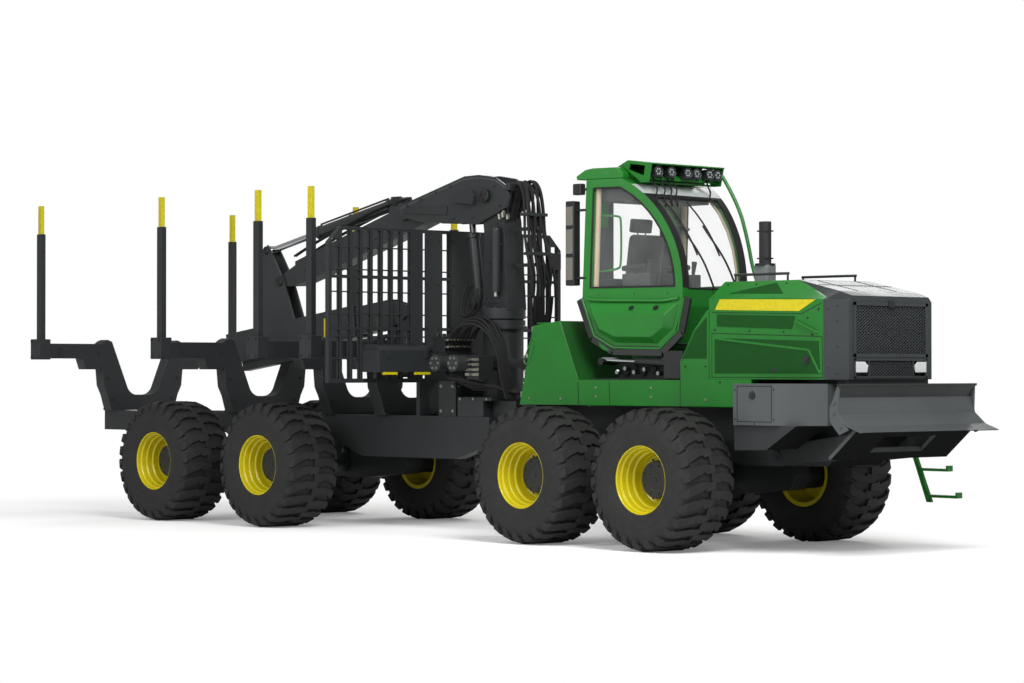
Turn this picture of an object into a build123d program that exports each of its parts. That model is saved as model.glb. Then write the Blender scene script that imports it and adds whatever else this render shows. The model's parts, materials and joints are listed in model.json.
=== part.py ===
from build123d import *
import math
import os

os.makedirs("parts", exist_ok=True)

# Forestry forwarder: millimetres, +X towards the blade, +Y to the machine's left, ground at z = 0.
# Stations are counted along X from the foremost wheel's axle.

# Reach of the machine either side of the foremost axle
front_reach = 2470.0
rear_reach = 10960.0
front_axle_x = (rear_reach - front_reach) / 2

# Wheels
tyre_radius = 722.0
tyre_width = 700.0
track_half = 1230.0
lug_count = 16
lug_height = 48.0
lug_share = 0.42
carcass_corners = 12
rim_seat_radius = 340.0
rim_corners = 14
rim_wall = 14.0
rim_inset = 40.0
rim_disc_depth = 330.0
hub_cap_radius = 185.0
drum_corners = 12
spindle_radius = 60.0
pin_gap = 0.4
running_gap = 6.0
hub_z = tyre_radius

# Bogies
front_bogie_spacing = 1746.0
rear_bogie_spacing = 2029.0
rear_bogie_centre = -7193.0
front_bogie_centre = -front_bogie_spacing / 2
bogie_inner = 600.0
bogie_thickness = 250.0
bogie_end_radius = 190.0
bogie_mid_height = 420.0
axle_radius = 150.0
axle_head_radius = 240.0
axle_head_half = 150.0
bogie_pin_radius = 110.0

# Front frame and joint
frame_half = 400.0
frame_wall = 30.0
frame_top = 1440.0
frame_rear = -2560.0
joint_x = -2900.0
joint_z = 1230.0
joint_pin_radius = 60.0
ear_thickness = 40.0
ear_radius = 150.0
ear_low = 1020.0
link_radius = 130.0
roll_radius = 140.0
roll_head_front = -3126.0
roll_head_length = 374.0
roll_head_half = 300.0

# Hood, nose and body panels
body_half = 800.0
sheet = 25.0
hood_rear = 250.0
hood_low = 1730.0
hood_shoulder = 2540.0
hood_top = 2720.0
hood_top_half = 560.0
hood_top_front = 1240.0
hood_side_front = 1760.0
corner_x = 1790.0
corner_shoulder = 2510.0
corner_top = 2600.0
nose_front = 1950.0
nose_half = 640.0
nose_shoulder = 2500.0
nose_top = 2550.0
grille_half = 540.0
upper_grille = (1980.0, 2460.0)
lower_grille = (1760.0, 1920.0)
front_lamp_y = 470.0
rail_radius = 14.0
rail_height = 68.0
rail_corners = 8
rail_stations = (360.0, 1060.0)
panel_low = 1450.0
panel_top = 1720.0
panel_rear = -1630.0
panel_front = -150.0
stack_centre = (395.0, -110.0)
stack_size = (130.0, 100.0)
stack_foot = (190.0, 150.0)
stack_foot_top = 2900.0
stack_top = 3345.0

# Cab
cab_rear_half = 750.0
cab_front_half = 500.0
cab_wall = 55.0
cab_sill = 2600.0
cab_floor = 2030.0
cab_rear_low = -1620.0
cab_rear_top = -1570.0
cab_front_low = -400.0
cab_top = 3840.0
arch_centre = (-1690.0, 2675.0)
arch_radius = 1292.0
window_frame = 40.0
sill_rail = 95.0
screen_frame = 90.0
screen_rear = -950.0
screen_heights = (2670.0, 3640.0)
rear_window_half = 450.0
rear_window_front = -1400.0
rear_window_heights = (2800.0, 3640.0)
roof_top = 3960.0
roof_front = -1130.0
glass = 8.0
glass_inset = 20.0
seal = 0.3
door_gap = 6.0
door_frame = 60.0
hinge_x = -1585.0
hinge_heights = (2760.0, 3360.0)
hinge_pin_radius = 8.0
hinge_barrel_radius = 14.0
lamp_bar_half = 560.0
lamp_bar_sheet = 14.0
lamp_radius = 58.0
lamp_depth = 90.0
lamp_z = 3905.0
lamp_front = -800.0
lamp_rail = lamp_front - lamp_depth

# Blade
blade_pivot = (950.0, 980.0)
blade_half = 1060.0
blade_plate = 25.0
blade_arm_y = 500.0
blade_arm_width = 90.0
blade_belly_half = 900.0

# Step boxes and ladder
step_box_inner = 600.0
step_box_outer = 1100.0
step_box_low = 1280.0
step_box_top = 1690.0
ladder_y = 1140.0
ladder_pin_z = 1000.0
ladder_pin_radius = 10.0
ladder_pin_stations = (1246.0, 1384.0)
ladder_thickness = 40.0
ladder_lug = 30.0

# Rear frame, bunks and gate
tail = -10780.0
beam_inner = 300.0
beam_outer = 450.0
beam_top = 1300.0
beam_low = 1050.0
beam_deep = 820.0
bunk_stations = (-10640.0, -8060.0, -6180.0, -5210.0)
bunk_thickness = 170.0
bunk_arm_top = 2160.0
bunk_arm_low = 1970.0
cradle_round = 170.0
socket_sides = (1455.0, 1620.0)
socket_half = 105.0
socket_top = 2215.0
stake_y = 1530.0
stake_size = (140.0, 100.0)
sleeve_top = 3550.0
tip_size = (100.0, 70.0)
stake_top = 3910.0
gate_x = -4600.0
gate_depth = 60.0
gate_half = 1800.0
gate_low = 1680.0
gate_top = 3430.0
gate_tube = 36.0
gate_edge = 30.0
gate_pitch = 150.0
gate_rows = (1710.0, 2290.0, 2870.0, 3410.0)
tow_pin_radius = 30.0

# Crane
slew_x = roll_head_front - roll_head_length - 150
slew_z = 2400.0
pillar_radius = 250.0
boom_pin = (slew_x - 100, 3790.0)
lift_foot = (slew_x - 380, 2570.0)
lift_eye = (slew_x - 530, 3560.0)
jib_cylinder_foot = (slew_x - 1760, 3800.0)
jib_eye = (slew_x - 4200, 3300.0)
jib_pin = (slew_x - 3940, 2910.0)
crane_pin_radius = 40.0
boom_half = 110.0
jib_half = 125.0
jib_wall = 14.0
cheek = 25.0


def point(x, y, z):
    """A point at a station counted from the front axle."""
    return Vector(front_axle_x + x, y, z)


def side(y=0.0):
    """Seen from the right, at a distance y to the left: x is the station, y the height."""
    return Plane(origin=point(0, y, 0), x_dir=(1, 0, 0), z_dir=(0, -1, 0))


def deck(z):
    """Seen from above, at a height z."""
    return Plane(origin=point(0, 0, z), x_dir=(1, 0, 0), z_dir=(0, 0, 1))


def across(x):
    """Seen from the front, at a station: x runs to the left, y is the height."""
    return Plane(origin=point(x, 0, 0), x_dir=(0, 1, 0), z_dir=(1, 0, 0))


def block(stations, sides, heights, mode=Mode.ADD):
    """A square block between two stations, two sides and two heights."""
    with Locations(point(sum(stations) / 2, sum(sides) / 2, sum(heights) / 2)):
        Box(
            stations[1] - stations[0],
            sides[1] - sides[0],
            heights[1] - heights[0],
            mode=mode,
        )


def outline(plane, points, depth, mode=Mode.ADD):
    """A closed outline of straight edges, extruded half its depth to both sides of its plane."""
    with BuildSketch(plane) as drawn:
        with BuildLine():
            Polyline(*points, close=True)
        make_face()
    extrude(drawn.sketch, amount=depth / 2, both=True, mode=mode)


def bar(start, end, radius, mode=Mode.ADD):
    """A round bar between two points."""
    with BuildSketch(Plane(origin=start, z_dir=end - start)) as drawn:
        Circle(radius)
    extrude(drawn.sketch, amount=(end - start).length, mode=mode)


def drum(start, end, radius, corners=drum_corners):
    """A wide casting or thin tube between two points, its round drawn with flats."""
    with BuildSketch(Plane(origin=start, z_dir=end - start)) as drawn:
        RegularPolygon(radius, corners)
    extrude(drawn.sketch, amount=(end - start).length)


def cross_bar(x, z, y_from, y_to, radius, mode=Mode.ADD):
    """A round bar across the machine."""
    bar(point(x, y_from, z), point(x, y_to, z), radius, mode)


def cross_drum(x, z, y_from, y_to, radius):
    """A wide casting across the machine."""
    drum(point(x, y_from, z), point(x, y_to, z), radius)


def both_sides(low, high):
    """The same stretch of width on the right and on the left."""
    return ((-high, -low), (low, high))


def save(piece, name):
    piece.part.label = name
    export_step(piece.part, f"parts/{name}.step")


def gear_outline(count, share, root, tip, phase):
    """The points round one half of a tyre: a flat lug, two flanks and a flat root, count times."""
    pitch = 2 * math.pi / count
    half_lug = pitch * share / 2
    points = []
    for index in range(count):
        middle = phase + index * pitch
        for angle, radius in (
            (middle - 1.25 * half_lug, root),
            (middle - half_lug, tip),
            (middle + half_lug, tip),
            (middle + 1.25 * half_lug, root),
        ):
            points.append((radius * math.sin(angle), -radius * math.cos(angle)))
    return points


# Tyres: two rows of lugs half a pitch apart on a carcass, and a polygonal seat on the rim
pitch_angle = 2 * math.pi / lug_count
tip_corner = tyre_radius / math.cos(pitch_angle * lug_share / 2)
lug_width = tyre_width - 60
axle_table = (
    # name, station of the bogie's middle, its wheel spacing
    ("front", front_bogie_centre, front_bogie_spacing),
    ("rear", rear_bogie_centre, rear_bogie_spacing),
)
wheel_table = tuple(
    # name, station of the wheel, hand (+1 left, -1 right)
    (f"{axle}_{place}_{side_name}", middle + end * spacing / 2, hand)
    for axle, middle, spacing in axle_table
    for place, end in (("leading", 1), ("trailing", -1))
    for side_name, hand in (("left", 1), ("right", -1))
)


def place(master, name, station, hand, y, z):
    """Saves a copy of a piece drawn about the origin with its outer side to the left."""
    with BuildPart() as placed:
        with Locations(Location(point(station, hand * y, z), (0, 0, 0 if hand > 0 else 180))):
            add(master.part)
    save(placed, name)


upright = Plane(origin=(0, 0, 0), x_dir=(1, 0, 0), z_dir=(0, 1, 0))
with BuildPart() as tyre:
    for row, phase in ((-1, 0.0), (1, pitch_angle / 2)):
        points = gear_outline(lug_count, lug_share, tyre_radius - lug_height, tip_corner, phase)
        with BuildSketch(upright):
            with BuildLine():
                Polyline(*points, close=True)
            make_face()
        extrude(amount=row * lug_width / 2)
    with BuildSketch(upright):
        RegularPolygon(tyre_radius - lug_height - 30, carcass_corners)
    extrude(amount=tyre_width / 2, both=True)
    with BuildSketch(upright):
        RegularPolygon(rim_seat_radius, rim_corners)
    extrude(amount=tyre_width, both=True, mode=Mode.SUBTRACT)
for name, station, hand in wheel_table:
    place(tyre, f"{name}_tyre", station, hand, track_half, hub_z)

# Rims: a deep dish with its disc set in, a hub cap on it, and a blind bore for the spindle
outer_face = track_half + tyre_width / 2 - rim_inset
disc_y = outer_face - rim_disc_depth
spindle_end = disc_y + 40
rim_half = tyre_width / 2 - rim_inset
with BuildPart() as rim:
    with BuildSketch(upright):
        RegularPolygon(rim_seat_radius, rim_corners)
        RegularPolygon(rim_seat_radius - rim_wall, rim_corners, mode=Mode.SUBTRACT)
    extrude(amount=rim_half, both=True)
    disc_local = disc_y - track_half
    with BuildSketch(upright.offset(disc_local)):
        RegularPolygon(rim_seat_radius - rim_wall / 2, rim_corners)
    extrude(amount=15, both=True)
    with BuildSketch(upright.offset(disc_local + 60)):
        RegularPolygon(hub_cap_radius, rim_corners)
    extrude(amount=70, both=True)
    with BuildSketch(upright.offset(disc_local - 200)):
        Circle(spindle_radius + pin_gap)
    extrude(amount=spindle_end - disc_y + 200, mode=Mode.SUBTRACT)
for name, station, hand in wheel_table:
    place(rim, f"{name}_rim", station, hand, track_half, hub_z)

# Bogies: a long gear case between the two wheels, a drum and a spindle at each, and a bore for its pin
bogie_outer = bogie_inner + bogie_thickness
for axle, middle, spacing in axle_table:
    for side_name, hand in (("left", 1), ("right", -1)):
        with BuildPart() as bogie:
            points = (
                (middle - spacing / 2 - bogie_end_radius, hub_z),
                (middle - spacing / 2 - 0.6 * bogie_end_radius, hub_z + 0.8 * bogie_end_radius),
                (middle - spacing / 4, hub_z + bogie_mid_height / 2),
                (middle + spacing / 4, hub_z + bogie_mid_height / 2),
                (middle + spacing / 2 + 0.6 * bogie_end_radius, hub_z + 0.8 * bogie_end_radius),
                (middle + spacing / 2 + bogie_end_radius, hub_z),
                (middle + spacing / 2 + 0.6 * bogie_end_radius, hub_z - 0.8 * bogie_end_radius),
                (middle + spacing / 4, hub_z - bogie_mid_height / 2),
                (middle - spacing / 4, hub_z - bogie_mid_height / 2),
                (middle - spacing / 2 - 0.6 * bogie_end_radius, hub_z - 0.8 * bogie_end_radius),
            )
            outline(side(hand * (bogie_inner + bogie_outer) / 2), points, bogie_thickness)
            for end in (-1, 1):
                station = middle + end * spacing / 2
                cross_drum(station, hub_z, hand * bogie_inner, hand * (disc_y - 20), 150)
                cross_bar(station, hub_z, hand * bogie_inner, hand * (spindle_end - 5), spindle_radius)
            cross_bar(
                middle,
                hub_z,
                hand * (bogie_inner - 10),
                hand * (bogie_outer - 60),
                bogie_pin_radius + pin_gap,
                Mode.SUBTRACT,
            )
        save(bogie, f"{axle}_{side_name}_bogie")

# Axles: a case across the machine with a drive head in the middle, pins out to the bogies, pads up
for axle, middle, pad_top, pad_half in (
    ("front", front_bogie_centre, 1000.0, frame_half - 20),
    ("rear", rear_bogie_centre, beam_low, beam_outer),
):
    with BuildPart() as axle_case:
        cross_drum(middle, hub_z, -(bogie_inner - running_gap), bogie_inner - running_gap, axle_radius)
        cross_bar(middle, hub_z, -(bogie_outer - 70), bogie_outer - 70, bogie_pin_radius)
        cross_drum(middle, hub_z, -axle_head_half, axle_head_half, axle_head_radius)
        for hand in (-1, 1):
            block(
                (middle - 160, middle + 160),
                sorted((hand * (pad_half - 140), hand * pad_half)),
                (hub_z, pad_top),
            )
    save(axle_case, f"{axle}_axle")

# Front frame: an open trough of plates with the hinge ears behind and the tow bore in front
front_frame_outline = (
    (frame_rear, frame_top),
    (frame_rear, ear_low),
    (-1300, 1000),
    (-400, 1000),
    (400, 850),
    (1480, 870),
    (1850, 1180),
    (1850, frame_top),
)
with BuildPart() as front_frame:
    outline(side(), front_frame_outline, 2 * frame_half)
    outline(
        side(),
        (
            (frame_rear + frame_wall, frame_top + 10),
            (frame_rear + frame_wall, ear_low + frame_wall),
            (-1300, 1000 + frame_wall),
            (-400, 1000 + frame_wall),
            (400, 850 + frame_wall),
            (1465, 870 + frame_wall),
            (1850 - frame_wall, 1195),
            (1850 - frame_wall, frame_top + 10),
        ),
        2 * (frame_half - frame_wall),
        Mode.SUBTRACT,
    )
    for low in (ear_low, frame_top - ear_thickness):
        with BuildSketch(deck(low)):
            with BuildLine():
                Polyline(
                    (frame_rear + 1, frame_half),
                    (joint_x + 20, ear_radius),
                    (joint_x + 20, -ear_radius),
                    (frame_rear + 1, -frame_half),
                    close=True,
                )
            make_face()
            with Locations((joint_x, 0)):
                Circle(ear_radius)
                Circle(joint_pin_radius + pin_gap, mode=Mode.SUBTRACT)
        extrude(amount=ear_thickness)
    cross_bar(*blade_pivot, -(blade_arm_y + 60), blade_arm_y + 60, 35)
    for x in (-1500, -250, 1000):
        block((x, x + frame_wall), (-frame_half + 10, frame_half - 10), (1020, frame_top - 60))
    for x in (480, 1250):
        block((x, x + 100), (-frame_half + 10, frame_half - 10), (frame_top - 60, frame_top))
save(front_frame, "front_frame")

# Centre link: the steering pin and hub, and the shaft on which the rear frame rolls
with BuildPart() as centre_link:
    bar(point(joint_x, 0, ear_low), point(joint_x, 0, frame_top), joint_pin_radius)
    drum(
        point(joint_x, 0, ear_low + ear_thickness + running_gap),
        point(joint_x, 0, frame_top - ear_thickness - running_gap),
        link_radius,
    )
    block((roll_head_front + 40, joint_x), (-110, 110), (joint_z - 140, joint_z + 140))
    drum(point(roll_head_front + 46, 0, joint_z), point(roll_head_front + running_gap, 0, joint_z), 200)
    bar(
        point(roll_head_front + 40, 0, joint_z),
        point(roll_head_front - roll_head_length - 20, 0, joint_z),
        roll_radius,
    )
save(centre_link, "centre_link")

# Engine: one plain block over the front of the frame
with BuildPart() as engine_block:
    block((420, 1400), (-330, 330), (frame_top, 2350))
save(engine_block, "engine_block")

bonnet_sections = (
    # station, height of the shoulder, height of the top, half width, half width of the top
    (hood_rear, hood_shoulder, hood_top, body_half, hood_top_half),
    (hood_top_front, hood_shoulder, hood_top, body_half, hood_top_half),
    (corner_x, corner_shoulder, corner_top, body_half, hood_top_half + 40),
    (nose_front, nose_shoulder, nose_top, nose_half, nose_half - 50),
)


def bonnet_skin(inset):
    """The whole bonnet through its sections, drawn inside its sheet by an inset."""
    sections = []
    for station, shoulder, top, half, top_half in bonnet_sections:
        if station == hood_rear:
            station += inset
        if station == nose_front:
            station -= inset
        low = hood_low - inset
        with BuildSketch(across(station)) as drawn:
            with BuildLine():
                Polyline(
                    (-half + inset, low),
                    (-half + inset, shoulder - inset / 2),
                    (-top_half + inset / 2, top - inset),
                    (top_half - inset / 2, top - inset),
                    (half - inset, shoulder - inset / 2),
                    (half - inset, low),
                    close=True,
                )
            make_face()
        sections.append(drawn.sketch)
    loft(sections, ruled=True, mode=Mode.SUBTRACT if inset else Mode.ADD)


with BuildPart() as bonnet:
    bonnet_skin(0)
    bonnet_skin(sheet)

# Hood: the green sheet over the engine, closed behind and open below, cut back along a slant in front
hood_cut = (
    (hood_rear - 10, hood_low - 10),
    (hood_rear - 10, hood_top + 10),
    (hood_top_front, hood_top + 10),
    (hood_top_front, hood_top),
    (hood_side_front, hood_shoulder - 5),
    (hood_side_front, hood_low - 10),
)
with BuildPart() as hood:
    add(bonnet.part)
    outline(side(), hood_cut, 3 * body_half, Mode.INTERSECT)
save(hood, "hood")

# Nose: the grey front of the hood, narrowing forwards, with its two grille openings
with BuildPart() as nose:
    add(bonnet.part)
    outline(side(), hood_cut, 3 * body_half, Mode.SUBTRACT)
    for low, high in (upper_grille, lower_grille):
        block((nose_front - 60, nose_front + 10), (-grille_half, grille_half), (low, high), Mode.SUBTRACT)
save(nose, "nose")

# Grille: a slotted plate in each opening of the nose, a lamp's window at both ends of the lower one
lamp_window = 150.0
with BuildPart() as grille:
    for (low, high), slots, slot_half in (
        (upper_grille, 7, grille_half - 40),
        (lower_grille, 2, front_lamp_y - lamp_window / 2 - 40),
    ):
        block((nose_front - 22, nose_front - 4), (-grille_half, grille_half), (low, high))
        pitch = (high - low - 40) / slots
        for index in range(slots):
            z = low + 20 + pitch * index
            block(
                (nose_front - 30, nose_front),
                (-slot_half, slot_half),
                (z + 12, z + pitch - 12),
                Mode.SUBTRACT,
            )
    for stretch in both_sides(front_lamp_y - lamp_window / 2, grille_half - 20):
        block(
            (nose_front - 30, nose_front),
            stretch,
            (lower_grille[0] + 20, lower_grille[1] - 20),
            Mode.SUBTRACT,
        )
save(grille, "grille")

# Exhaust: a flat oval stack on a square foot, between the cab and the hood
with BuildPart() as exhaust_stack:
    for (length, width), corner, low, high in (
        (stack_foot, 30, hood_top, stack_foot_top),
        (stack_size, 45, hood_top, stack_top),
    ):
        with BuildSketch(deck(low)) as drawn:
            with Locations(stack_centre):
                RectangleRounded(length, width, corner)
        extrude(drawn.sketch, amount=high - low)
save(exhaust_stack, "exhaust_stack")

# Rails along both sides of the hood's top
with BuildPart() as hood_rails:
    for hand in (-1, 1):
        y = hand * (hood_top_half - 40)
        top = hood_top + rail_height
        for x in rail_stations:
            drum(point(x, y, hood_top), point(x, y, top), rail_radius - 3, rail_corners)
        drum(
            point(rail_stations[0] - rail_radius, y, top),
            point(rail_stations[1] + rail_radius, y, top),
            rail_radius,
            rail_corners,
        )
save(hood_rails, "hood_rails")

# Side panels: the low green boxes beside the frame under the cab and the hood
panel_outline = (
    (panel_rear, panel_low),
    (panel_rear, panel_top),
    (panel_front, panel_top),
    (panel_front, panel_top + 190),
    (40, 2230),
    (220, 2430),
    (hood_rear, 2430),
    (hood_rear, hood_low),
    (820, hood_low),
    (820, panel_low),
)
with BuildPart() as side_panels:
    for hand in (-1, 1):
        outline(side(hand * (body_half - 50)), panel_outline, 100)
    for x in (-1500, 100):
        block((x, x + 60), (-body_half + 10, body_half - 10), (frame_top, panel_low + 100))
save(side_panels, "side_panels")

# Rear box: the tank and cooler housing behind the cab
with BuildPart() as rear_box:
    outline(
        side(),
        (
            (-2540, panel_low),
            (-2330, 2300),
            (-1910, 2350),
            (panel_rear, 1720),
            (panel_rear, panel_low),
        ),
        2 * body_half,
    )
save(rear_box, "rear_box")

# Step boxes ahead of the front wheels: a locker tapering forwards over a shallow one
step_upper = (
    (850, step_box_inner),
    (850, step_box_outer),
    (1400, step_box_outer),
    (1790, step_box_outer - 330),
    (1790, step_box_inner),
)
step_lower = (
    (830, step_box_low),
    (830, 1030),
    (1250, 1040),
    (1640, step_box_low),
)
lug_stations = tuple(
    sorted((pin_end, pin_end + inward * ladder_lug))
    for pin_end, inward in zip(ladder_pin_stations, (1, -1))
)
with BuildPart() as step_boxes:
    for hand in (-1, 1):
        with BuildSketch(deck(step_box_low)) as drawn:
            with BuildLine():
                Polyline(*((x, hand * y) for x, y in step_upper), close=True)
            make_face()
        extrude(drawn.sketch, amount=step_box_top - step_box_low)
        outline(side(hand * (step_box_inner + step_box_outer - 40) / 2), step_lower, 460)
    for stretch in both_sides(frame_half, step_box_inner + 20):
        block((1000, 1200), stretch, (1300, 1400))
    for lug in lug_stations:
        block(lug, (step_box_outer - 60, ladder_y + 25), (ladder_pin_z - 25, step_box_low + 60))
    bar(
        point(ladder_pin_stations[0] + 5, ladder_y, ladder_pin_z),
        point(ladder_pin_stations[1] - 5, ladder_y, ladder_pin_z),
        ladder_pin_radius,
    )
save(step_boxes, "step_boxes")


def pillar_x(z):
    """The station of the rear pillar's outer edge at a height."""
    return cab_rear_low + (cab_rear_top - cab_rear_low) * (z - cab_sill) / (cab_top - cab_sill)


def cab_half_at(x):
    """Half the cab's width at a station: wide at the rear pillars, narrow at the windscreen."""
    narrowing = (cab_rear_half - cab_front_half) / (cab_front_low - cab_rear_low)
    return cab_rear_half - narrowing * (x - cab_rear_low)


def cab_plan(inset, mode=Mode.ADD, x_from=cab_rear_low - 200, x_to=cab_front_low + 200):
    """The cab's plan, drawn inside its sides by an inset and run past its ends."""
    with BuildLine() as drawn:
        Polyline(
            (x_from, -cab_half_at(x_from) + inset),
            (x_to, -cab_half_at(x_to) + inset),
            (x_to, cab_half_at(x_to) - inset),
            (x_from, cab_half_at(x_from) - inset),
            close=True,
        )
    make_face(drawn.edges(), mode=mode)


def arch_x(z, inset=0.0):
    """The station of the windscreen's arch at a height, inside it by an inset."""
    rise = z - arch_centre[1]
    return arch_centre[0] + math.sqrt((arch_radius - inset) ** 2 - rise**2)


def cab_side(inset, sill, mode=Mode.ADD):
    """The cab's side view above a sill, drawn inside the sheet by an inset."""
    top = cab_top - inset
    middle = (sill + top) / 2
    with BuildLine() as drawn:
        rear = Line((pillar_x(sill) + inset, sill), (pillar_x(top) + inset, top))
        lid = Line(rear @ 1, (arch_x(top, inset), top))
        front = ThreePointArc(lid @ 1, (arch_x(middle, inset), middle), (arch_x(sill, inset), sill))
        Line(front @ 1, rear @ 0)
    make_face(drawn.edges(), mode=mode)


def tub_side(inset, rim):
    """The tub's side view below the sill up to its rim, with its lower corners rounded."""
    with BuildLine() as drawn:
        FilletPolyline(
            (cab_rear_low + inset, rim),
            (cab_rear_low + inset, cab_sill - 70),
            (-1380 + inset / 2, cab_floor + inset),
            (-560 - inset / 2, cab_floor + inset),
            (cab_front_low - inset, cab_sill - 120),
            (cab_front_low - inset, rim),
            radius=90 - inset,
        )
        Line((cab_front_low - inset, rim), (cab_rear_low + inset, rim))
    make_face(drawn.edges())


cab_height = cab_top - cab_floor + 100
cab_length = (cab_rear_low - 100, cab_front_low + 100)

# The room inside the walls, without a floor or lid between tub and windows
with BuildPart() as cab_room:
    with BuildSketch(side()):
        cab_side(cab_wall, cab_sill - 1)
    extrude(amount=cab_rear_half, both=True)
    with BuildSketch(deck(cab_sill - 2)):
        cab_plan(cab_wall)
    extrude(amount=cab_height, mode=Mode.INTERSECT)

with BuildPart() as tub_room:
    with BuildSketch(side()):
        tub_side(cab_wall, cab_sill + 10)
    extrude(amount=cab_rear_half, both=True)
    with BuildSketch(deck(cab_floor - 10)):
        cab_plan(cab_wall)
    extrude(amount=cab_height, mode=Mode.INTERSECT)

# Cab base: the tub under the windows, open at the top, on its levelling head and post
with BuildPart() as cab_base:
    with BuildSketch(side()):
        tub_side(0, cab_sill)
    extrude(amount=cab_rear_half, both=True)
    with BuildSketch(deck(cab_floor - 10)):
        cab_plan(0)
    extrude(amount=cab_height, mode=Mode.INTERSECT)
    add(tub_room.part, mode=Mode.SUBTRACT)
    block((-1250, -600), (-380, 380), (1900, cab_floor + 10))
    block((-1150, -700), (-300, 300), (1560, 1900))
    block((-1350, -250), (-420, 420), (frame_top, 1560))
save(cab_base, "cab_base")

# Cab shell: pillars and rails above the sill, the left side left open for the door
hinge_y = cab_half_at(hinge_x) + 18
with BuildPart() as cab_shell:
    with BuildSketch(side()):
        cab_side(0, cab_sill)
    extrude(amount=cab_rear_half, both=True)
    with BuildSketch(deck(cab_sill - 10)):
        cab_plan(0)
    extrude(amount=cab_height, mode=Mode.INTERSECT)
    add(cab_room.part, mode=Mode.SUBTRACT)
    for edge, inset, sill in (
        (cab_rear_half + 1, cab_wall, cab_sill + cab_wall),
        (-1, cab_wall + window_frame, cab_sill + sill_rail),
    ):
        with BuildSketch(side(edge)) as drawn:
            cab_side(inset, sill)
        extrude(drawn.sketch, amount=cab_rear_half, mode=Mode.SUBTRACT)
    with BuildSketch(deck(screen_heights[0])) as drawn:
        cab_plan(screen_frame, x_from=screen_rear)
    extrude(drawn.sketch, amount=screen_heights[1] - screen_heights[0], mode=Mode.SUBTRACT)
    block(
        (cab_length[0], rear_window_front),
        (-rear_window_half, rear_window_half),
        rear_window_heights,
        Mode.SUBTRACT,
    )
    for z in hinge_heights:
        block((hinge_x - 15, hinge_x + 15), (hinge_y - 40, hinge_y + 14), (z - 40, z - 21))
        bar(point(hinge_x, hinge_y, z - 22), point(hinge_x, hinge_y, z + 18), hinge_pin_radius)
save(cab_shell, "cab_shell")

# Cab windows: right pane, windscreen and rear pane, each in its opening
with BuildPart() as side_pane:
    with BuildSketch(side()):
        cab_side(cab_wall + window_frame + seal, cab_sill + sill_rail + seal)
    extrude(amount=cab_rear_half)
    with BuildSketch(deck(cab_sill)):
        cab_plan(glass_inset)
        cab_plan(glass_inset + glass, Mode.SUBTRACT)
    extrude(amount=cab_height, mode=Mode.INTERSECT)
with BuildPart() as windscreen:
    with BuildSketch(side()):
        cab_side(glass_inset, cab_sill)
        cab_side(glass_inset + glass, cab_sill - 10, Mode.SUBTRACT)
    extrude(amount=cab_rear_half, both=True)
    with BuildSketch(deck(screen_heights[0] + seal)):
        cab_plan(screen_frame + seal, x_from=screen_rear + seal)
    extrude(amount=screen_heights[1] - screen_heights[0] - 2 * seal, mode=Mode.INTERSECT)
with BuildPart() as rear_pane:
    with BuildSketch(side()):
        cab_side(glass_inset, cab_sill)
        cab_side(glass_inset + glass, cab_sill - 10, Mode.SUBTRACT)
    extrude(amount=cab_rear_half, both=True)
    block(
        (cab_length[0], rear_window_front),
        (-rear_window_half + seal, rear_window_half - seal),
        (rear_window_heights[0] + seal, rear_window_heights[1] - seal),
        Mode.INTERSECT,
    )
with BuildPart() as cab_windows:
    for pane in (side_pane, windscreen, rear_pane):
        add(pane.part)
save(cab_windows, "cab_windows")

# Cab door on the left: a framed plate with a pane, hinged at the rear pillar
door_sill = cab_sill + cab_wall
with BuildPart() as cab_door:
    with BuildSketch(side(cab_rear_half + 1)):
        cab_side(cab_wall + door_gap, door_sill + door_gap)
        cab_side(cab_wall + door_frame, door_sill + door_frame, Mode.SUBTRACT)
    extrude(amount=cab_rear_half)
    with BuildSketch(deck(cab_sill)):
        cab_plan(0)
        cab_plan(cab_wall - door_gap, Mode.SUBTRACT)
    extrude(amount=cab_height, mode=Mode.INTERSECT)
    for z in hinge_heights:
        strap_end = pillar_x(z) + cab_wall + door_frame - 10
        block((hinge_x, strap_end), (hinge_y - 10, hinge_y + 8), (z - 15, z + 15))
        block((strap_end - 35, strap_end), (hinge_y - 45, hinge_y), (z - 15, z + 15))
        bar(point(hinge_x, hinge_y, z - 15), point(hinge_x, hinge_y, z + 15), hinge_barrel_radius)
        bar(
            point(hinge_x, hinge_y, z - 16),
            point(hinge_x, hinge_y, z + 16),
            hinge_pin_radius + pin_gap,
            Mode.SUBTRACT,
        )
save(cab_door, "cab_door")
with BuildPart() as cab_door_glass:
    with BuildSketch(side(cab_rear_half + 1)):
        cab_side(cab_wall + door_frame + seal, door_sill + door_frame + seal)
    extrude(amount=cab_rear_half)
    with BuildSketch(deck(cab_sill)):
        cab_plan(glass_inset)
        cab_plan(glass_inset + glass, Mode.SUBTRACT)
    extrude(amount=cab_height, mode=Mode.INTERSECT)
save(cab_door_glass, "cab_door_glass")

# Cab roof: a shallow cap over the pillars, overhanging the rear wall
with BuildPart() as cab_roof:
    outline(
        side(),
        (
            (cab_rear_top - 130, cab_top),
            (cab_rear_top - 140, cab_top + 40),
            (cab_rear_top - 30, roof_top - 15),
            (cab_rear_top + 60, roof_top),
            (roof_front - 70, roof_top),
            (roof_front, cab_top + 60),
            (roof_front, cab_top),
        ),
        3 * cab_rear_half,
    )
    with BuildSketch(deck(cab_top - 10)):
        cab_plan(10)
    extrude(amount=roof_top - cab_top + 20, mode=Mode.INTERSECT)
save(cab_roof, "cab_roof")

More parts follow.
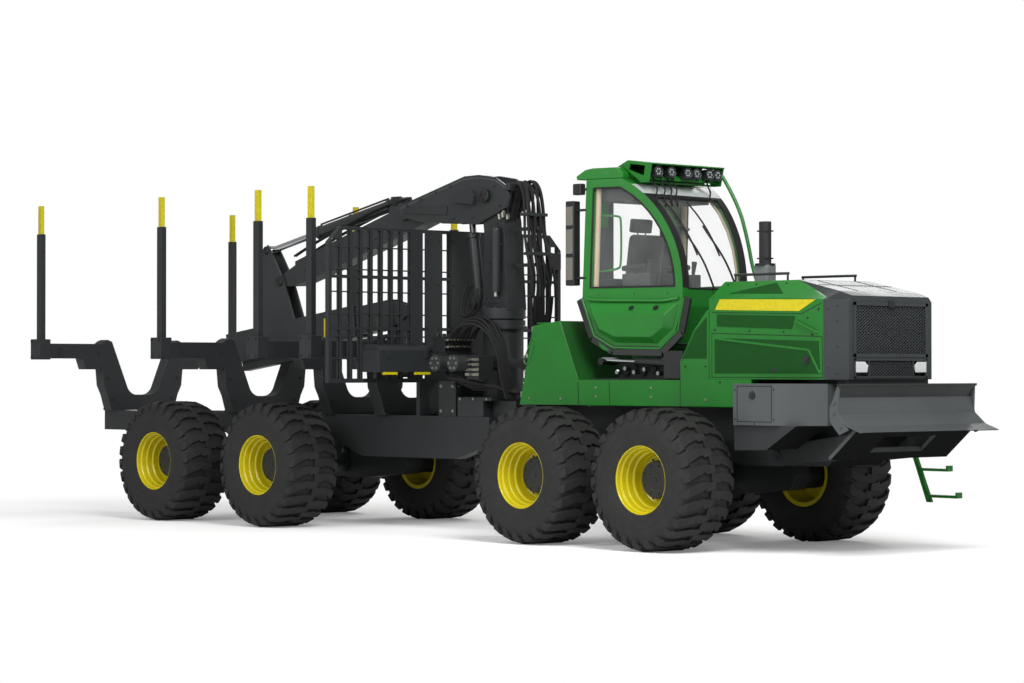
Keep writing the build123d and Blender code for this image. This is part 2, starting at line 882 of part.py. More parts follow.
# Lamp hood over the windscreen: a folded top plate standing on the roof, and two open end plates
lamp_hood = (
    (roof_front - 180, roof_top),
    (roof_front, 4034),
    (-780, 3990),
    (-782, 3976),
    (roof_front, 4018),
    (roof_front - 142, roof_top),
)
lamp_hood_end = (
    (roof_front - 170, roof_top),
    (roof_front, 4030),
    (-785, 3986),
    (-830, 3790),
    (-930, 3790),
    (roof_front + 10, cab_top + 70),
    (roof_front - 65, roof_top + 1),
    (roof_front - 75, roof_top),
)
lamp_hood_window = ((roof_front + 10, 3935), (roof_front + 30, 3995), (-880, 3965), (-900, 3860))
with BuildPart() as light_bar:
    outline(side(), lamp_hood, 2 * lamp_bar_half)
    for hand in (-1, 1):
        end_plane = side(hand * (lamp_bar_half - lamp_bar_sheet / 2))
        outline(end_plane, lamp_hood_end, lamp_bar_sheet)
        outline(end_plane, lamp_hood_window, 2 * lamp_bar_sheet, Mode.SUBTRACT)
    block((-960, -940), (-lamp_bar_half, lamp_bar_half), (3792, 3812))
    block((lamp_rail - 12, lamp_rail), (-lamp_bar_half, lamp_bar_half), (3822, 3872))
save(light_bar, "light_bar")

# Work lamps: six on the rail under the lamp hood, two behind the nose grille
lamp_table = (
    # station of the lens, side, height, radius, depth
    (lamp_front, -440, lamp_z, lamp_radius, lamp_depth),
    (lamp_front, -240, lamp_z, lamp_radius, lamp_depth),
    (lamp_front, 10, lamp_z, lamp_radius, lamp_depth),
    (lamp_front, 150, lamp_z, lamp_radius, lamp_depth),
    (lamp_front, 350, lamp_z, lamp_radius, lamp_depth),
    (lamp_front, 475, lamp_z, lamp_radius, lamp_depth),
    (nose_front - 22, -front_lamp_y, sum(lower_grille) / 2, 64, 60),
    (nose_front - 22, front_lamp_y, sum(lower_grille) / 2, 64, 60),
)
with BuildPart() as work_lamps:
    for x, y, z, radius, depth in lamp_table:
        drum(point(x - depth, y, z), point(x, y, z), radius)
save(work_lamps, "work_lamps")

# Seat on its post
with BuildPart() as cab_seat:
    block((-1200, -720), (-240, 240), (2500, 2620))
    outline(side(), ((-1200, 2620), (-1300, 3300), (-1190, 3300), (-1070, 2620)), 440)
    block((-1050, -850), (-110, 110), (cab_floor + cab_wall, 2500))
save(cab_seat, "cab_seat")

# Blade: a folded plate with end plates, on two arms that a belly plate with a window joins
blade_face = ((2180, 1680), (2130, 1560), (2170, 1400), (2300, 1290), (front_reach, 1230))
blade_end = ((2170, 1650), (2060, 1470), (2060, 1330), (2180, 1200), (2300, 1250), (2160, 1395))
blade_arm = (
    (blade_pivot[0] - 70, blade_pivot[1] - 70),
    (blade_pivot[0] - 70, blade_pivot[1] + 70),
    (1900, 1200),
    (2125, 1540),
    (2155, 1400),
    (2250, 1310),
    (1950, 960),
    (blade_pivot[0] + 60, blade_pivot[1] - 110),
)
with BuildPart() as blade:
    back = tuple((x - blade_plate, z - 0.3 * blade_plate) for x, z in reversed(blade_face))
    outline(side(), blade_face + back, 2 * blade_half)
    for hand in (-1, 1):
        outline(side(hand * (blade_half - blade_plate / 2)), blade_end, blade_plate)
        outline(side(hand * blade_arm_y), blade_arm, blade_arm_width)
        cross_bar(
            *blade_pivot,
            hand * (blade_arm_y - 60),
            hand * (blade_arm_y + 60),
            35 + pin_gap,
            Mode.SUBTRACT,
        )
    outline(
        side(),
        ((1930, 950), (2290, 1262), (2270, 1290), (1905, 975)),
        2 * blade_belly_half,
    )
    block((2010, 2190), (-blade_arm_y + 100, blade_arm_y - 100), (980, 1260), Mode.SUBTRACT)
save(blade, "blade")

# Ladder on the left, ahead of the front wheel: one leaning stringer with two treads, hung on a pin
with BuildPart() as ladder:
    outline(
        side(ladder_y),
        ((1286, 1020), (1328, 1020), (1560, 470), (1500, 470)),
        ladder_thickness,
    )
    for x_from, x_to, z in ((1400, 1790, 790), (1510, 1910, 520)):
        block((x_from, x_to), (ladder_y - 45, ladder_y + 45), (z, z + 28))
        block((x_to - 20, x_to), (ladder_y - 45, ladder_y + 45), (z, z + 60))
    barrel = (lug_stations[0][1] + running_gap, lug_stations[1][0] - running_gap)
    bar(
        point(barrel[0], ladder_y, ladder_pin_z),
        point(barrel[1], ladder_y, ladder_pin_z),
        2.4 * ladder_pin_radius,
    )
    bar(
        point(barrel[0] - 1, ladder_y, ladder_pin_z),
        point(barrel[1] + 1, ladder_y, ladder_pin_z),
        ladder_pin_radius + pin_gap,
        Mode.SUBTRACT,
    )
save(ladder, "ladder")

# Rear frame: two deep beams, cross members, the roll head in front and the tow clevis behind
with BuildPart() as rear_frame:
    for hand in (-1, 1):
        outline(
            side(hand * (beam_inner + beam_outer) / 2),
            (
                (tail, beam_low),
                (tail, beam_top),
                (roll_head_front - roll_head_length, beam_top),
                (roll_head_front - roll_head_length, 960),
                (-3950, beam_deep),
                (-5600, beam_deep),
                (-6200, beam_low),
            ),
            beam_outer - beam_inner,
        )
    for x in (tail, -9300, -8060, -6180, -5210, -4650, -3950):
        block((x, x + 150), (-beam_inner - 10, beam_inner + 10), (beam_low + 20, beam_top - 20))
    block(
        (roll_head_front - roll_head_length, roll_head_front),
        (-roll_head_half, roll_head_half),
        (joint_z - 250, joint_z + 250),
    )
    block(
        (roll_head_front - roll_head_length - 1, roll_head_front - roll_head_length + 99),
        (-beam_outer, beam_outer),
        (960, beam_top),
    )
    bar(
        point(roll_head_front + 1, 0, joint_z),
        point(roll_head_front - roll_head_length - 70, 0, joint_z),
        roll_radius + pin_gap,
        Mode.SUBTRACT,
    )
    for low in (1080, 1230):
        with BuildSketch(deck(low)):
            with Locations((tail - 80, 0)):
                Rectangle(200, 200)
                with Locations((-20, 0)):
                    Circle(tow_pin_radius, mode=Mode.SUBTRACT)
        extrude(amount=40)
save(rear_frame, "rear_frame")

# Bunks: winged cradles across the frame, the cradle's bottom rounded, a stake socket at each end
bunk_half = (
    (205, 1500),
    (370, 1900),
    (490, 2190),
    (560, 2215),
    (620, 2190),
    (660, bunk_arm_top),
    (socket_sides[1], bunk_arm_top),
    (socket_sides[1], bunk_arm_low),
    (950, bunk_arm_low),
    (900, 1830),
    (640, 1830),
    (620, 1620),
    (560, 1500),
    (500, beam_top),
)
with BuildPart() as bunks:
    for x in bunk_stations:
        mirrored = tuple((-y, z) for y, z in reversed(bunk_half))
        with BuildSketch(across(x)) as drawn:
            with BuildLine():
                Polyline(*(bunk_half + mirrored), close=True)
            make_face()
            inner = [v for v in drawn.vertices() if abs(abs(v.X) - bunk_half[0][0]) < 1]
            fillet(inner, radius=cradle_round)
        extrude(drawn.sketch, amount=bunk_thickness / 2, both=True)
        for stretch in both_sides(*socket_sides):
            block((x - socket_half, x + socket_half), stretch, (bunk_arm_low - 15, socket_top))
save(bunks, "bunks")

# Stakes: a sleeve in each socket with a narrower tip
with BuildPart() as stakes:
    for x in bunk_stations:
        for hand in (-1, 1):
            for (length, width), low, high in (
                (stake_size, socket_top, sleeve_top),
                (tip_size, sleeve_top - 10, stake_top),
            ):
                block(
                    (x - length / 2, x + length / 2),
                    (hand * stake_y - width / 2, hand * stake_y + width / 2),
                    (low, high),
                )
save(stakes, "stakes")

# Load gate: upright bars in a frame behind the crane, with two broad posts down to the frame
gate_outer = (
    (-gate_half, gate_low),
    (-gate_half, gate_top - 180),
    (-gate_half + 180, gate_top),
    (gate_half - 180, gate_top),
    (gate_half, gate_top - 180),
    (gate_half, gate_low),
)
gate_cells = (
    # side where a field of bars starts, number of gaps in it
    (-gate_half + gate_edge, 8),
    (-gate_half + gate_edge + 9 * gate_pitch, 6),
    (gate_half - gate_edge - 7 * gate_pitch, 7),
)
with BuildPart() as load_gate:
    outline(across(gate_x), gate_outer, gate_depth)
    for start, gaps in gate_cells:
        for index in range(gaps):
            left = start + gate_pitch * index
            outer_cell = abs(left + gate_pitch / 2) > gate_half - 200
            top = gate_rows[-1] - (100 if outer_cell else 0)
            for low, high in zip(gate_rows, gate_rows[1:-1] + (top,)):
                block(
                    (gate_x - gate_depth, gate_x + gate_depth),
                    (left + gate_tube / 2, left + gate_pitch - gate_tube / 2),
                    (low + gate_tube / 2, high - gate_tube / 2),
                    Mode.SUBTRACT,
                )
    for stretch in both_sides(beam_inner, beam_outer):
        block((gate_x - gate_depth / 2, gate_x + gate_depth / 2), stretch, (beam_top, gate_low + 10))
save(load_gate, "load_gate")

# Tool box on the front of the gate
with BuildPart() as tool_box:
    block(
        (gate_x + gate_depth / 2, gate_x + gate_depth / 2 + 300),
        (-1320, -460),
        (1800, 2050),
    )
save(tool_box, "tool_box")

# Valve and tank unit beside the crane base
with BuildPart() as hydraulic_unit:
    block((slew_x - 600, slew_x - 310), (-beam_outer, beam_outer), (beam_top, 1700))
save(hydraulic_unit, "hydraulic_unit")

head_top = joint_z + 250
base_plate_top = head_top + 40

# Crane base: pedestal with the transverse slewing cylinders
with BuildPart() as crane_base:
    block((slew_x - 280, slew_x + 280), (-beam_outer, beam_outer), (head_top, base_plate_top))
    for hand in (-1, 1):
        block(
            (slew_x - 280, roll_head_front - roll_head_length - 1),
            sorted((hand * beam_inner, hand * beam_outer)),
            (beam_top, head_top),
        )
    drum(point(slew_x, 0, base_plate_top), point(slew_x, 0, slew_z - running_gap), pillar_radius - 20)
    bar(
        point(slew_x, 0, slew_z - 310),
        point(slew_x, 0, slew_z),
        60 + pin_gap,
        Mode.SUBTRACT,
    )
    for x in (slew_x - 150, slew_x + 150):
        cross_drum(x, 1900, -900, 900, 85)
save(crane_base, "crane_base")

# Crane pillar: a tapering column with cheeks for the boom pin and the lift cylinder's foot
with BuildPart() as crane_pillar:
    drum(point(slew_x, 0, slew_z), point(slew_x, 0, slew_z + 120), pillar_radius)
    bar(point(slew_x, 0, slew_z - 300), point(slew_x, 0, slew_z), 60)
    outline(
        side(),
        (
            (slew_x - 200, slew_z + 100),
            (slew_x + 230, slew_z + 100),
            (slew_x + 150, 3500),
            (slew_x + 60, 3900),
            (boom_pin[0] - 90, 3900),
            (boom_pin[0] - 110, 3700),
            (slew_x - 160, 3300),
        ),
        2 * (boom_half + running_gap + cheek),
    )
    outline(
        side(),
        (
            (slew_x + 60, 3560),
            (slew_x + 200, 3960),
            (boom_pin[0] - 200, 3960),
            (boom_pin[0] - 200, 3560),
        ),
        2 * (boom_half + running_gap),
        Mode.SUBTRACT,
    )
    for hand in (-1, 1):
        y = hand * (70 + running_gap + cheek / 2)
        outline(
            side(y),
            (
                (slew_x - 150, slew_z + 60),
                (lift_foot[0] - 70, lift_foot[1] - 60),
                (lift_foot[0] - 70, lift_foot[1] + 60),
                (slew_x - 150, slew_z + 340),
            ),
            cheek,
        )
    cross_bar(*boom_pin, -(boom_half + 90), boom_half + 90, crane_pin_radius)
    cross_bar(*lift_foot, -120, 120, crane_pin_radius)
save(crane_pillar, "crane_pillar")

# Boom: a box beam between the pillar's cheeks, ears below for the lift cylinder, ears above for the jib's
boom_body = (
    (boom_pin[0] + 80, 3760),
    (boom_pin[0] + 80, 3850),
    (boom_pin[0] - 210, 4040),
    (boom_pin[0] - 370, 4030),
    (boom_pin[0] - 1750, 3670),
    (jib_pin[0] + 330, 3150),
    (jib_pin[0] + 330, 2850),
    (boom_pin[0] - 1750, 3330),
    (boom_pin[0] - 750, 3640),
    (boom_pin[0] - 600, 3720),
    (boom_pin[0] - 230, 3720),
)
boom_head = (
    (boom_pin[0] + 335, 3650),
    (boom_pin[0] + 385, 3770),
    (boom_pin[0] + 330, 3890),
    (boom_pin[0] + 150, 3990),
    (boom_pin[0] - 130, 4035),
    (boom_pin[0] - 370, 4030),
    (boom_pin[0] - 1500, 3740),
    (boom_pin[0] - 1500, 3620),
    (boom_pin[0] - 1100, 3530),
    (boom_pin[0] - 480, 3500),
    (boom_pin[0] - 140, 3475),
)
head_inner = boom_half + running_gap + cheek + running_gap
head_outer = head_inner + cheek
with BuildPart() as boom:
    outline(side(), boom_body, 2 * boom_half)
    for stretch in both_sides(head_inner, head_outer):
        outline(side(sum(stretch) / 2), boom_head, cheek)
    outline(
        side(),
        (
            (boom_pin[0] - 230, 3730),
            (boom_pin[0] - 230, 4020),
            (boom_pin[0] - 370, 4020),
            (boom_pin[0] - 1480, 3735),
            (boom_pin[0] - 1480, 3570),
            (boom_pin[0] - 1000, 3640),
        ),
        head_inner + head_outer,
    )
    outline(
        side(),
        (
            (jib_pin[0] + 340, 3140),
            (jib_pin[0] + 340, 2850),
            (jib_pin[0] - 50, 2850),
            (jib_pin[0] - 60, 2960),
        ),
        120,
    )
    for hand in (-1, 1):
        y = hand * (60 + running_gap + cheek / 2)
        x, z = lift_eye
        outline(side(y), ((x - 110, 3800), (x - 70, z - 70), (x + 70, z - 70), (x + 110, 3800)), cheek)
        x, z = jib_cylinder_foot
        outline(side(y), ((x - 150, 3560), (x - 80, z + 60), (x + 80, z + 60), (x + 170, 3640)), cheek)
    cross_bar(*boom_pin, -head_outer, head_outer, crane_pin_radius + pin_gap, Mode.SUBTRACT)
    cross_bar(*jib_pin, -60, 60, crane_pin_radius + pin_gap, Mode.SUBTRACT)
    cross_bar(*jib_cylinder_foot, -(60 + running_gap + cheek), 60 + running_gap + cheek, crane_pin_radius)
save(boom, "boom")


def pin_plane(foot, eye):
    """The plane of a cylinder: its foot at the origin, its eye along x."""
    along = point(eye[0], 0, eye[1]) - point(foot[0], 0, foot[1])
    return Plane(origin=point(foot[0], 0, foot[1]), x_dir=along, z_dir=(0, -1, 0)), along.length


cylinder_table = (
    # name, foot, eye, barrel radius, rod radius, barrel start and end and rod start, from the foot
    ("lift", lift_foot, lift_eye, 70.0, 38.0, 90.0, 820.0, 215.0),
    ("jib", jib_cylinder_foot, jib_eye, 72.0, 40.0, 170.0, 1545.0, 720.0),
)
eye_radius = 58.0
for name, foot, eye, barrel_radius, rod_radius, barrel_from, barrel_to, rod_from in cylinder_table:
    plane, length = pin_plane(foot, eye)
    start = plane.from_local_coords(Vector(0, 0, 0))
    along = plane.x_dir
    with BuildPart() as barrel:
        drum(start + along * barrel_from, start + along * barrel_to, barrel_radius)
        drum(start + along * 40, start + along * (barrel_from + 1), 45)
        with BuildSketch(plane):
            Circle(eye_radius)
        extrude(amount=60, both=True)
        with BuildSketch(plane):
            Circle(crane_pin_radius + pin_gap)
        extrude(amount=61, both=True, mode=Mode.SUBTRACT)
        bar(start + along * 200, start + along * (barrel_to + 1), rod_radius + pin_gap, Mode.SUBTRACT)
    save(barrel, f"{name}_barrel")
    with BuildPart() as rod:
        bar(start + along * rod_from, start + along * (length - 40), rod_radius)
        with BuildSketch(Plane(origin=start + along * length, x_dir=along, z_dir=(0, -1, 0))):
            Circle(eye_radius)
        extrude(amount=60, both=True)
    save(rod, f"{name}_rod")

# Jib: a tube that slides over the extension, its ears up to the boom's end and to the rod's eye
jib_slope = math.radians(7.5)
jib_tail = (jib_eye[0] - 750, 2080.0)
jib_plane = Plane(
    origin=point(jib_tail[0], 0, jib_tail[1]),
    x_dir=(math.cos(jib_slope), 0, math.sin(jib_slope)),
    z_dir=(0, -1, 0),
)
jib_length = 2500.0
jib_height_half = 190.0
extension_clear = 10.0
extension_length = 3150.0


def jib_block(along, heights, half, mode=Mode.ADD):
    """A block in the jib's own slope: between two lengths along it and two heights across it."""
    with BuildSketch(jib_plane) as drawn:
        with Locations((sum(along) / 2, sum(heights) / 2)):
            Rectangle(along[1] - along[0], heights[1] - heights[0])
    extrude(drawn.sketch, amount=half, both=True, mode=mode)


with BuildPart() as jib:
    jib_block((0, jib_length), (-jib_height_half, jib_height_half), jib_half)
    jib_block(
        (jib_wall, jib_length + 1),
        (-jib_height_half + jib_wall, jib_height_half - jib_wall),
        jib_half - jib_wall,
        Mode.SUBTRACT,
    )
    for hand in (-1, 1):
        y = hand * (60 + running_gap + cheek / 2)
        outline(
            side(y),
            (
                (jib_eye[0] - 200, 2330),
                (jib_eye[0] - 80, jib_eye[1]),
                (jib_eye[0] + 20, jib_eye[1] + 70),
                (jib_pin[0] + 70, jib_pin[1] + 20),
                (jib_pin[0] + 290, 2430),
            ),
            cheek,
        )
    cross_bar(*jib_pin, -(60 + running_gap + cheek), 60 + running_gap + cheek, crane_pin_radius)
    jib_block((200, 1900), (-jib_height_half - 110, -jib_height_half), 55)
    barrel_axis = -jib_height_half - 55
    with BuildSketch(
        Plane(
            origin=jib_plane.from_local_coords(Vector(500, barrel_axis, 0)),
            z_dir=jib_plane.x_dir,
        )
    ):
        Circle(30 + pin_gap)
    extrude(amount=1401, mode=Mode.SUBTRACT)
save(jib, "jib")

with BuildPart() as extension:
    inner_half = jib_half - jib_wall - extension_clear
    inner_height = jib_height_half - jib_wall - extension_clear
    jib_block((600, extension_length), (-inner_height, inner_height), inner_half)
    for along in ((650, 800), (2150, 2300)):
        jib_block(
            along,
            (-inner_height - extension_clear + pin_gap, inner_height + extension_clear - pin_gap),
            inner_half + extension_clear - pin_gap,
        )
    with BuildSketch(
        Plane(
            origin=jib_plane.from_local_coords(Vector(560, barrel_axis, 0)),
            z_dir=jib_plane.x_dir,
        )
    ):
        Circle(30)
    extrude(amount=extension_length - 560 - 50)
    jib_block((extension_length - 100, extension_length), (barrel_axis - 50, 0), 50)
    fork_gap = 46.0
    fork_reach = 200.0
    for hand in (-1, 1):
        with BuildSketch(jib_plane.offset(hand * (fork_gap + cheek / 2))):
            with BuildLine():
                Polyline(
                    (extension_length - 1, -150),
                    (extension_length - 1, 150),
                    (extension_length + fork_reach + 60, 60),
                    (extension_length + fork_reach + 60, -60),
                    close=True,
                )
            make_face()
        extrude(amount=cheek / 2, both=True)
    grapple_pin = jib_plane.from_local_coords(Vector(extension_length + fork_reach, 0, 0))
    bar(grapple_pin - Vector(0, 71, 0), grapple_pin + Vector(0, 71, 0), 30)
save(extension, "extension")

# Grapple: link, rotator and two closed jaws, hanging from the extension's fork
with BuildPart() as grapple:
    gx = grapple_pin.X - front_axle_x
    gz = grapple_pin.Z
    block((gx - 60, gx + 60), (-40, 40), (gz - 240, gz + 60))
    drum(point(gx, 0, gz - 420), point(gx, 0, gz - 230), 120)
    outline(
        side(),
        (
            (gx - 120, gz - 410),
            (gx - 300, gz - 560),
            (gx - 260, gz - 700),
            (gx, gz - 780),
            (gx + 260, gz - 700),
            (gx + 300, gz - 560),
            (gx + 120, gz - 410),
        ),
        340,
    )
    bar(point(gx, -41, gz), point(gx, 41, gz), 30 + pin_gap, Mode.SUBTRACT)
save(grapple, "grapple")
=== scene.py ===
"""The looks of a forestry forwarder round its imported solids.

Metres: +X forward to the blade, +Y to the machine's left, the ground at z = 0.
FOREMOST is the station of the foremost axle, from which the other stations are counted.
"""
import json
import math

import bmesh
import bpy
from mathutils import Matrix, Vector

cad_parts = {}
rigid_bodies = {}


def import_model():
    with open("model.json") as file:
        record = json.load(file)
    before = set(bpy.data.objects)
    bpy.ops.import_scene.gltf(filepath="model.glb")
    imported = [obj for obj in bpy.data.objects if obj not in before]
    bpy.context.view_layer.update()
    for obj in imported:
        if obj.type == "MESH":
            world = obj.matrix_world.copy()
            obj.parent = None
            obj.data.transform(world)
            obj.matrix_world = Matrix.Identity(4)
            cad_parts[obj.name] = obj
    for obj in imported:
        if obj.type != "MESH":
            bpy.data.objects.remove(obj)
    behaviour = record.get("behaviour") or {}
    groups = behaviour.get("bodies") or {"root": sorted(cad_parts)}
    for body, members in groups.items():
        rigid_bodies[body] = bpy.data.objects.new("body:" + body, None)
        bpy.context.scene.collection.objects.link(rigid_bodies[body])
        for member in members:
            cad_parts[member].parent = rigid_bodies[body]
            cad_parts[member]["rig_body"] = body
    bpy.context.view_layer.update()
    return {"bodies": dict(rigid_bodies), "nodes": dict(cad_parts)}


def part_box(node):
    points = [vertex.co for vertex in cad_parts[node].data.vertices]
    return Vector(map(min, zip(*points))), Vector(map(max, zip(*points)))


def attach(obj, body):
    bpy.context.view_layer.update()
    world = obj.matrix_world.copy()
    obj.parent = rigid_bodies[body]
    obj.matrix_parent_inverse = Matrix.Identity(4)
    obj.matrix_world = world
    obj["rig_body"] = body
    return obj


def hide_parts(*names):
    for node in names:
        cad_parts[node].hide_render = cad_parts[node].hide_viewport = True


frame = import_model()

FOREMOST = 4.245
RIGHT, LEFT = HANDS = (-1, 1)


def at(x, y, z):
    """A point at a station counted from the foremost axle."""
    return Vector((FOREMOST + x, y, z))


# Materials

def linear(hex_colour):
    """An sRGB hex colour in Blender's linear values."""
    levels = [int(hex_colour[i:i + 2], 16) / 255 for i in (1, 3, 5)]
    return [c / 12.92 if c <= 0.04045 else ((c + 0.055) / 1.055) ** 2.4 for c in levels] + [1.0]


def grey(level):
    return [level, level, level, 1.0]


def shaded(colour, share):
    return [c * share for c in colour[:3]] + [1.0]


def add_node(tree, kind, settings=(), stops=()):
    """Adds a shader node and gives its outputs. A setting is a link, a socket's value or a
    property, and the stops are those of a colour ramp."""
    new = tree.nodes.new("ShaderNode" + kind)
    for name, value in dict(settings).items():
        if isinstance(value, bpy.types.NodeSocket):
            tree.links.new(value, new.inputs[name])
        elif isinstance(name, int) or name in new.inputs:
            new.inputs[name].default_value = value
        else:
            setattr(new, name, value)
    if stops:
        for element, (position, colour) in zip(new.color_ramp.elements, stops):
            element.position, element.color = position, colour
    return new.outputs


def compute(tree, operation, *values):
    """Arithmetic on links or numbers."""
    return add_node(tree, "Math", {"operation": operation, **dict(enumerate(values))})[0]


def new_material(name, sockets):
    """A material with constant sockets, its tree, its shader and the point it is drawn at."""
    made = bpy.data.materials.new(name)
    made.use_nodes = True
    tree = made.node_tree
    shader = tree.nodes["Principled BSDF"]
    for socket, value in sockets.items():
        shader.inputs[socket].default_value = value
    return made, tree, shader, add_node(tree, "TexCoord")["Object"]


def surface(name, sockets, pattern, tones, relief=None, film=None):
    """A finish whose colour runs between two tones along a pattern, which is a noise's settings
    or a function. The relief has its own noise, or None for the pattern's, then a depth in
    metres and a strength. The film is how rough the pattern makes it."""
    made, tree, shader, place = new_material(name, sockets)

    def level_of(source):
        if callable(source):
            return source(tree, place)
        return add_node(tree, "TexNoise", {**source, "Vector": place})["Fac"]

    level = level_of(pattern)
    for socket, stops in (("Base Color", tones), ("Roughness", film)):
        if stops:
            ramp = add_node(tree, "ValToRGB", {"Fac": level}, stops)
            tree.links.new(ramp["Color"], shader.inputs[socket])
    if relief:
        grain, depth, strength = relief
        height = level_of(grain) if grain else level
        bump = add_node(tree, "Bump", {"Strength": strength, "Distance": depth, "Height": height})
        tree.links.new(bump["Normal"], shader.inputs["Normal"])
    return made


def enamel(name, colour, worn, roughness, coat):
    """Sprayed enamel on steel: even colour with a slow drift, a faint orange peel about 6 mm
    across and a duller film of dust in its patches."""
    return surface(
        name,
        {"Specular IOR Level": 0.3, "Coat Weight": coat, "Coat Roughness": 0.12},
        {"Scale": 1.3, "Detail": 4.0, "Roughness": 0.6},
        ((0.32, linear(worn)), (0.68, linear(colour))),
        ({"Scale": 160.0, "Detail": 2.0}, 0.0002, 0.2),
        ((0.3, grey(roughness + 0.10)), (0.7, grey(roughness))),
    )


def moulded_rubber(name, colour, dusty, grain):
    """Moulded rubber: matt, with a fine grain and a paler bloom in patches."""
    return surface(
        name,
        {"Roughness": 0.72, "Specular IOR Level": 0.35},
        {"Scale": 7.0, "Detail": 6.0, "Roughness": 0.65},
        ((0.35, linear(colour)), (0.75, linear(dusty))),
        ({"Scale": grain, "Detail": 3.0}, 0.0015, 0.5),
    )


def plain(name, colour, roughness, metallic=0.0, grain=220.0, depth=0.0003, gloss=0.5):
    """A plain finish with a fine grain in its surface."""
    base = linear(colour)
    return surface(
        name,
        {"Roughness": roughness, "Metallic": metallic, "Specular IOR Level": gloss},
        {"Scale": grain, "Detail": 3.0},
        ((0.3, shaded(base, 0.82)), (0.7, base)),
        (None, depth, 0.4),
    )


HOLE_PITCH, HOLE_SIZE = 0.011, 0.075
THREAD = 0.004


def holes(tree, place):
    """How near a point is to one of the rows of round holes, on the side view in X and Z."""
    parts = add_node(tree, "SeparateXYZ", {"Vector": place})
    spots = []
    for shift in (0.0, 0.5):
        squares = []
        for axis in "XZ":
            cell = compute(tree, "MULTIPLY_ADD", parts[axis], 1 / HOLE_PITCH, 100.0 + shift)
            centred = compute(tree, "SUBTRACT", compute(tree, "FRACT", cell), 0.5)
            squares.append(compute(tree, "MULTIPLY", centred, centred))
        spots.append(compute(tree, "ADD", *squares))
    return compute(tree, "MINIMUM", *spots)


def weave(tree, place):
    """Crossing threads, drawn about twice their real size so that they show."""
    threads = {"Scale": 1 / THREAD / 20, "Vector": place}
    crossing = [
        add_node(tree, "TexWave", {**threads, "bands_direction": way})["Fac"] for way in "YZ"
    ]
    return compute(tree, "MULTIPLY", *crossing)


GREEN = enamel("green_enamel", "#1d6f23", "#19641e", 0.30, 0.16)
GREEN_DARK = enamel("green_sheet_in_shade", "#185219", "#144715", 0.42, 0.1)
# The holes are not cut: each is painted near-black green, the painted shade seen through it
GREEN_HOLES = surface(
    "green_perforated_sheet",
    {"Roughness": 0.5, "Specular IOR Level": 0.15},
    holes,
    ((HOLE_SIZE, linear("#06200a")), (HOLE_SIZE * 1.3, linear("#175a1a"))),
)
YELLOW = enamel("yellow_enamel", "#c6b713", "#b5a710", 0.30, 0.3)
STRIPE = plain("yellow_stripe_film", "#c6b71f", 0.45, grain=30.0, depth=0.00002, gloss=0.2)
# Near-black with almost no gloss for faces turned to the floor: painted shade under the machine,
# kept from reflecting the floor
UNDERSIDE_PAINTED_SHADE = plain("underbody_painted_shade", "#0d0e0f", 0.9, gloss=0.05)
FRAME_GREY = enamel("dark_grey_paint", "#2a2d2e", "#252829", 0.44, 0.05)
CRANE_GREY = enamel("crane_grey_paint", "#2d3031", "#282b2c", 0.38, 0.1)
NOSE_GREY = enamel("nose_grey_paint", "#333738", "#2f3334", 0.42, 0.08)
BLADE_GREY = enamel("blade_grey_paint", "#4b4f50", "#454949", 0.42, 0.08)
# A much lighter grey than the nose's front, given to the nose's faces that point upwards
NOSE_UPPER_FACE_GREY = enamel("nose_upper_face_grey", "#777979", "#707272", 0.45, 0.05)
TYRE = moulded_rubber("tyre_rubber", "#1c1c1c", "#262625", 90.0)
HOSE = moulded_rubber("hose_rubber", "#131314", "#1c1c1d", 300.0)
SEAL = moulded_rubber("window_seal_rubber", "#111111", "#181818", 200.0)
PLASTIC = plain("black_moulded_plastic", "#17181a", 0.48)
DARK_LINING = plain("dark_cab_lining", "#2e2f32", 0.8, grain=120.0, depth=0.0006)
BEIGE_LINING = plain("beige_cab_lining", "#bda98f", 0.7, grain=150.0)
CHROME = plain("chromed_rod", "#c9cccf", 0.12, metallic=1.0, grain=400.0, depth=0.00005)
ZINC = plain("zinc_plated_steel", "#b9b8ae", 0.32, metallic=1.0, grain=300.0)
IRON = plain("cast_iron", "#2c2d2e", 0.6, metallic=0.3, grain=60.0, depth=0.001)
EXHAUST = plain("matt_heatproof_black", "#131314", 0.6, grain=150.0, depth=0.0004)
EXHAUST_FOOT = enamel("exhaust_foot_grey", "#6c6f71", "#626567", 0.45, 0.1)
# Safety glazing: thin, glossy and nearly clear, with a faint tint
GLASS = surface(
    "safety_glass",
    {"Roughness": 0.03, "Alpha": 0.045},
    {"Scale": 4.0, "Detail": 3.0},
    ((0.3, linear("#b4c0bb")), (0.7, linear("#f2f6f4"))),
)
MIRROR_FACE = plain("mirror_face", "#8d8a82", 0.15, metallic=0.5)
LAMP_BACK = plain("lamp_reflector", "#33373a", 0.25, metallic=0.3)
LAMP_WHITE = plain("lamp_diode_lens", "#8f9496", 0.2)
LENS_WHITE = plain("frosted_lamp_lens", "#d6d8d8", 0.3)
# Pale grey for the opaque shell at the top of the windscreen, where the glass looks bright: painted
# light, not a frosted strip
SCREEN_LIGHT_PAINT = plain("painted_screen_light", "#b9bfbd", 0.2)
SEAT_CLOTH = surface(
    "seat_cloth",
    {"Roughness": 0.9, "Sheen Weight": 0.2},
    weave,
    ((0.2, shaded(linear("#242427"), 0.6)), (0.8, linear("#242427"))),
    (None, 0.001, 1.0),
)
# The slot named for each finish, which piece() looks up but gives to no piece; other finishes look
# up dark_paint
SLOTS = {
    GREEN: "green_paint",
    GREEN_HOLES: "green_paint",
    YELLOW: "yellow_paint",
    STRIPE: "yellow_paint",
    LAMP_BACK: "window_glass",
    LAMP_WHITE: "window_glass",
    LENS_WHITE: "window_glass",
    **dict.fromkeys((HOSE, SEAL, PLASTIC, DARK_LINING, BEIGE_LINING), "black_plastic"),
}


# Pieces

def show(name, data):
    """A new object of the scene."""
    made = bpy.data.objects.new(name, data)
    bpy.context.scene.collection.objects.link(made)
    return made


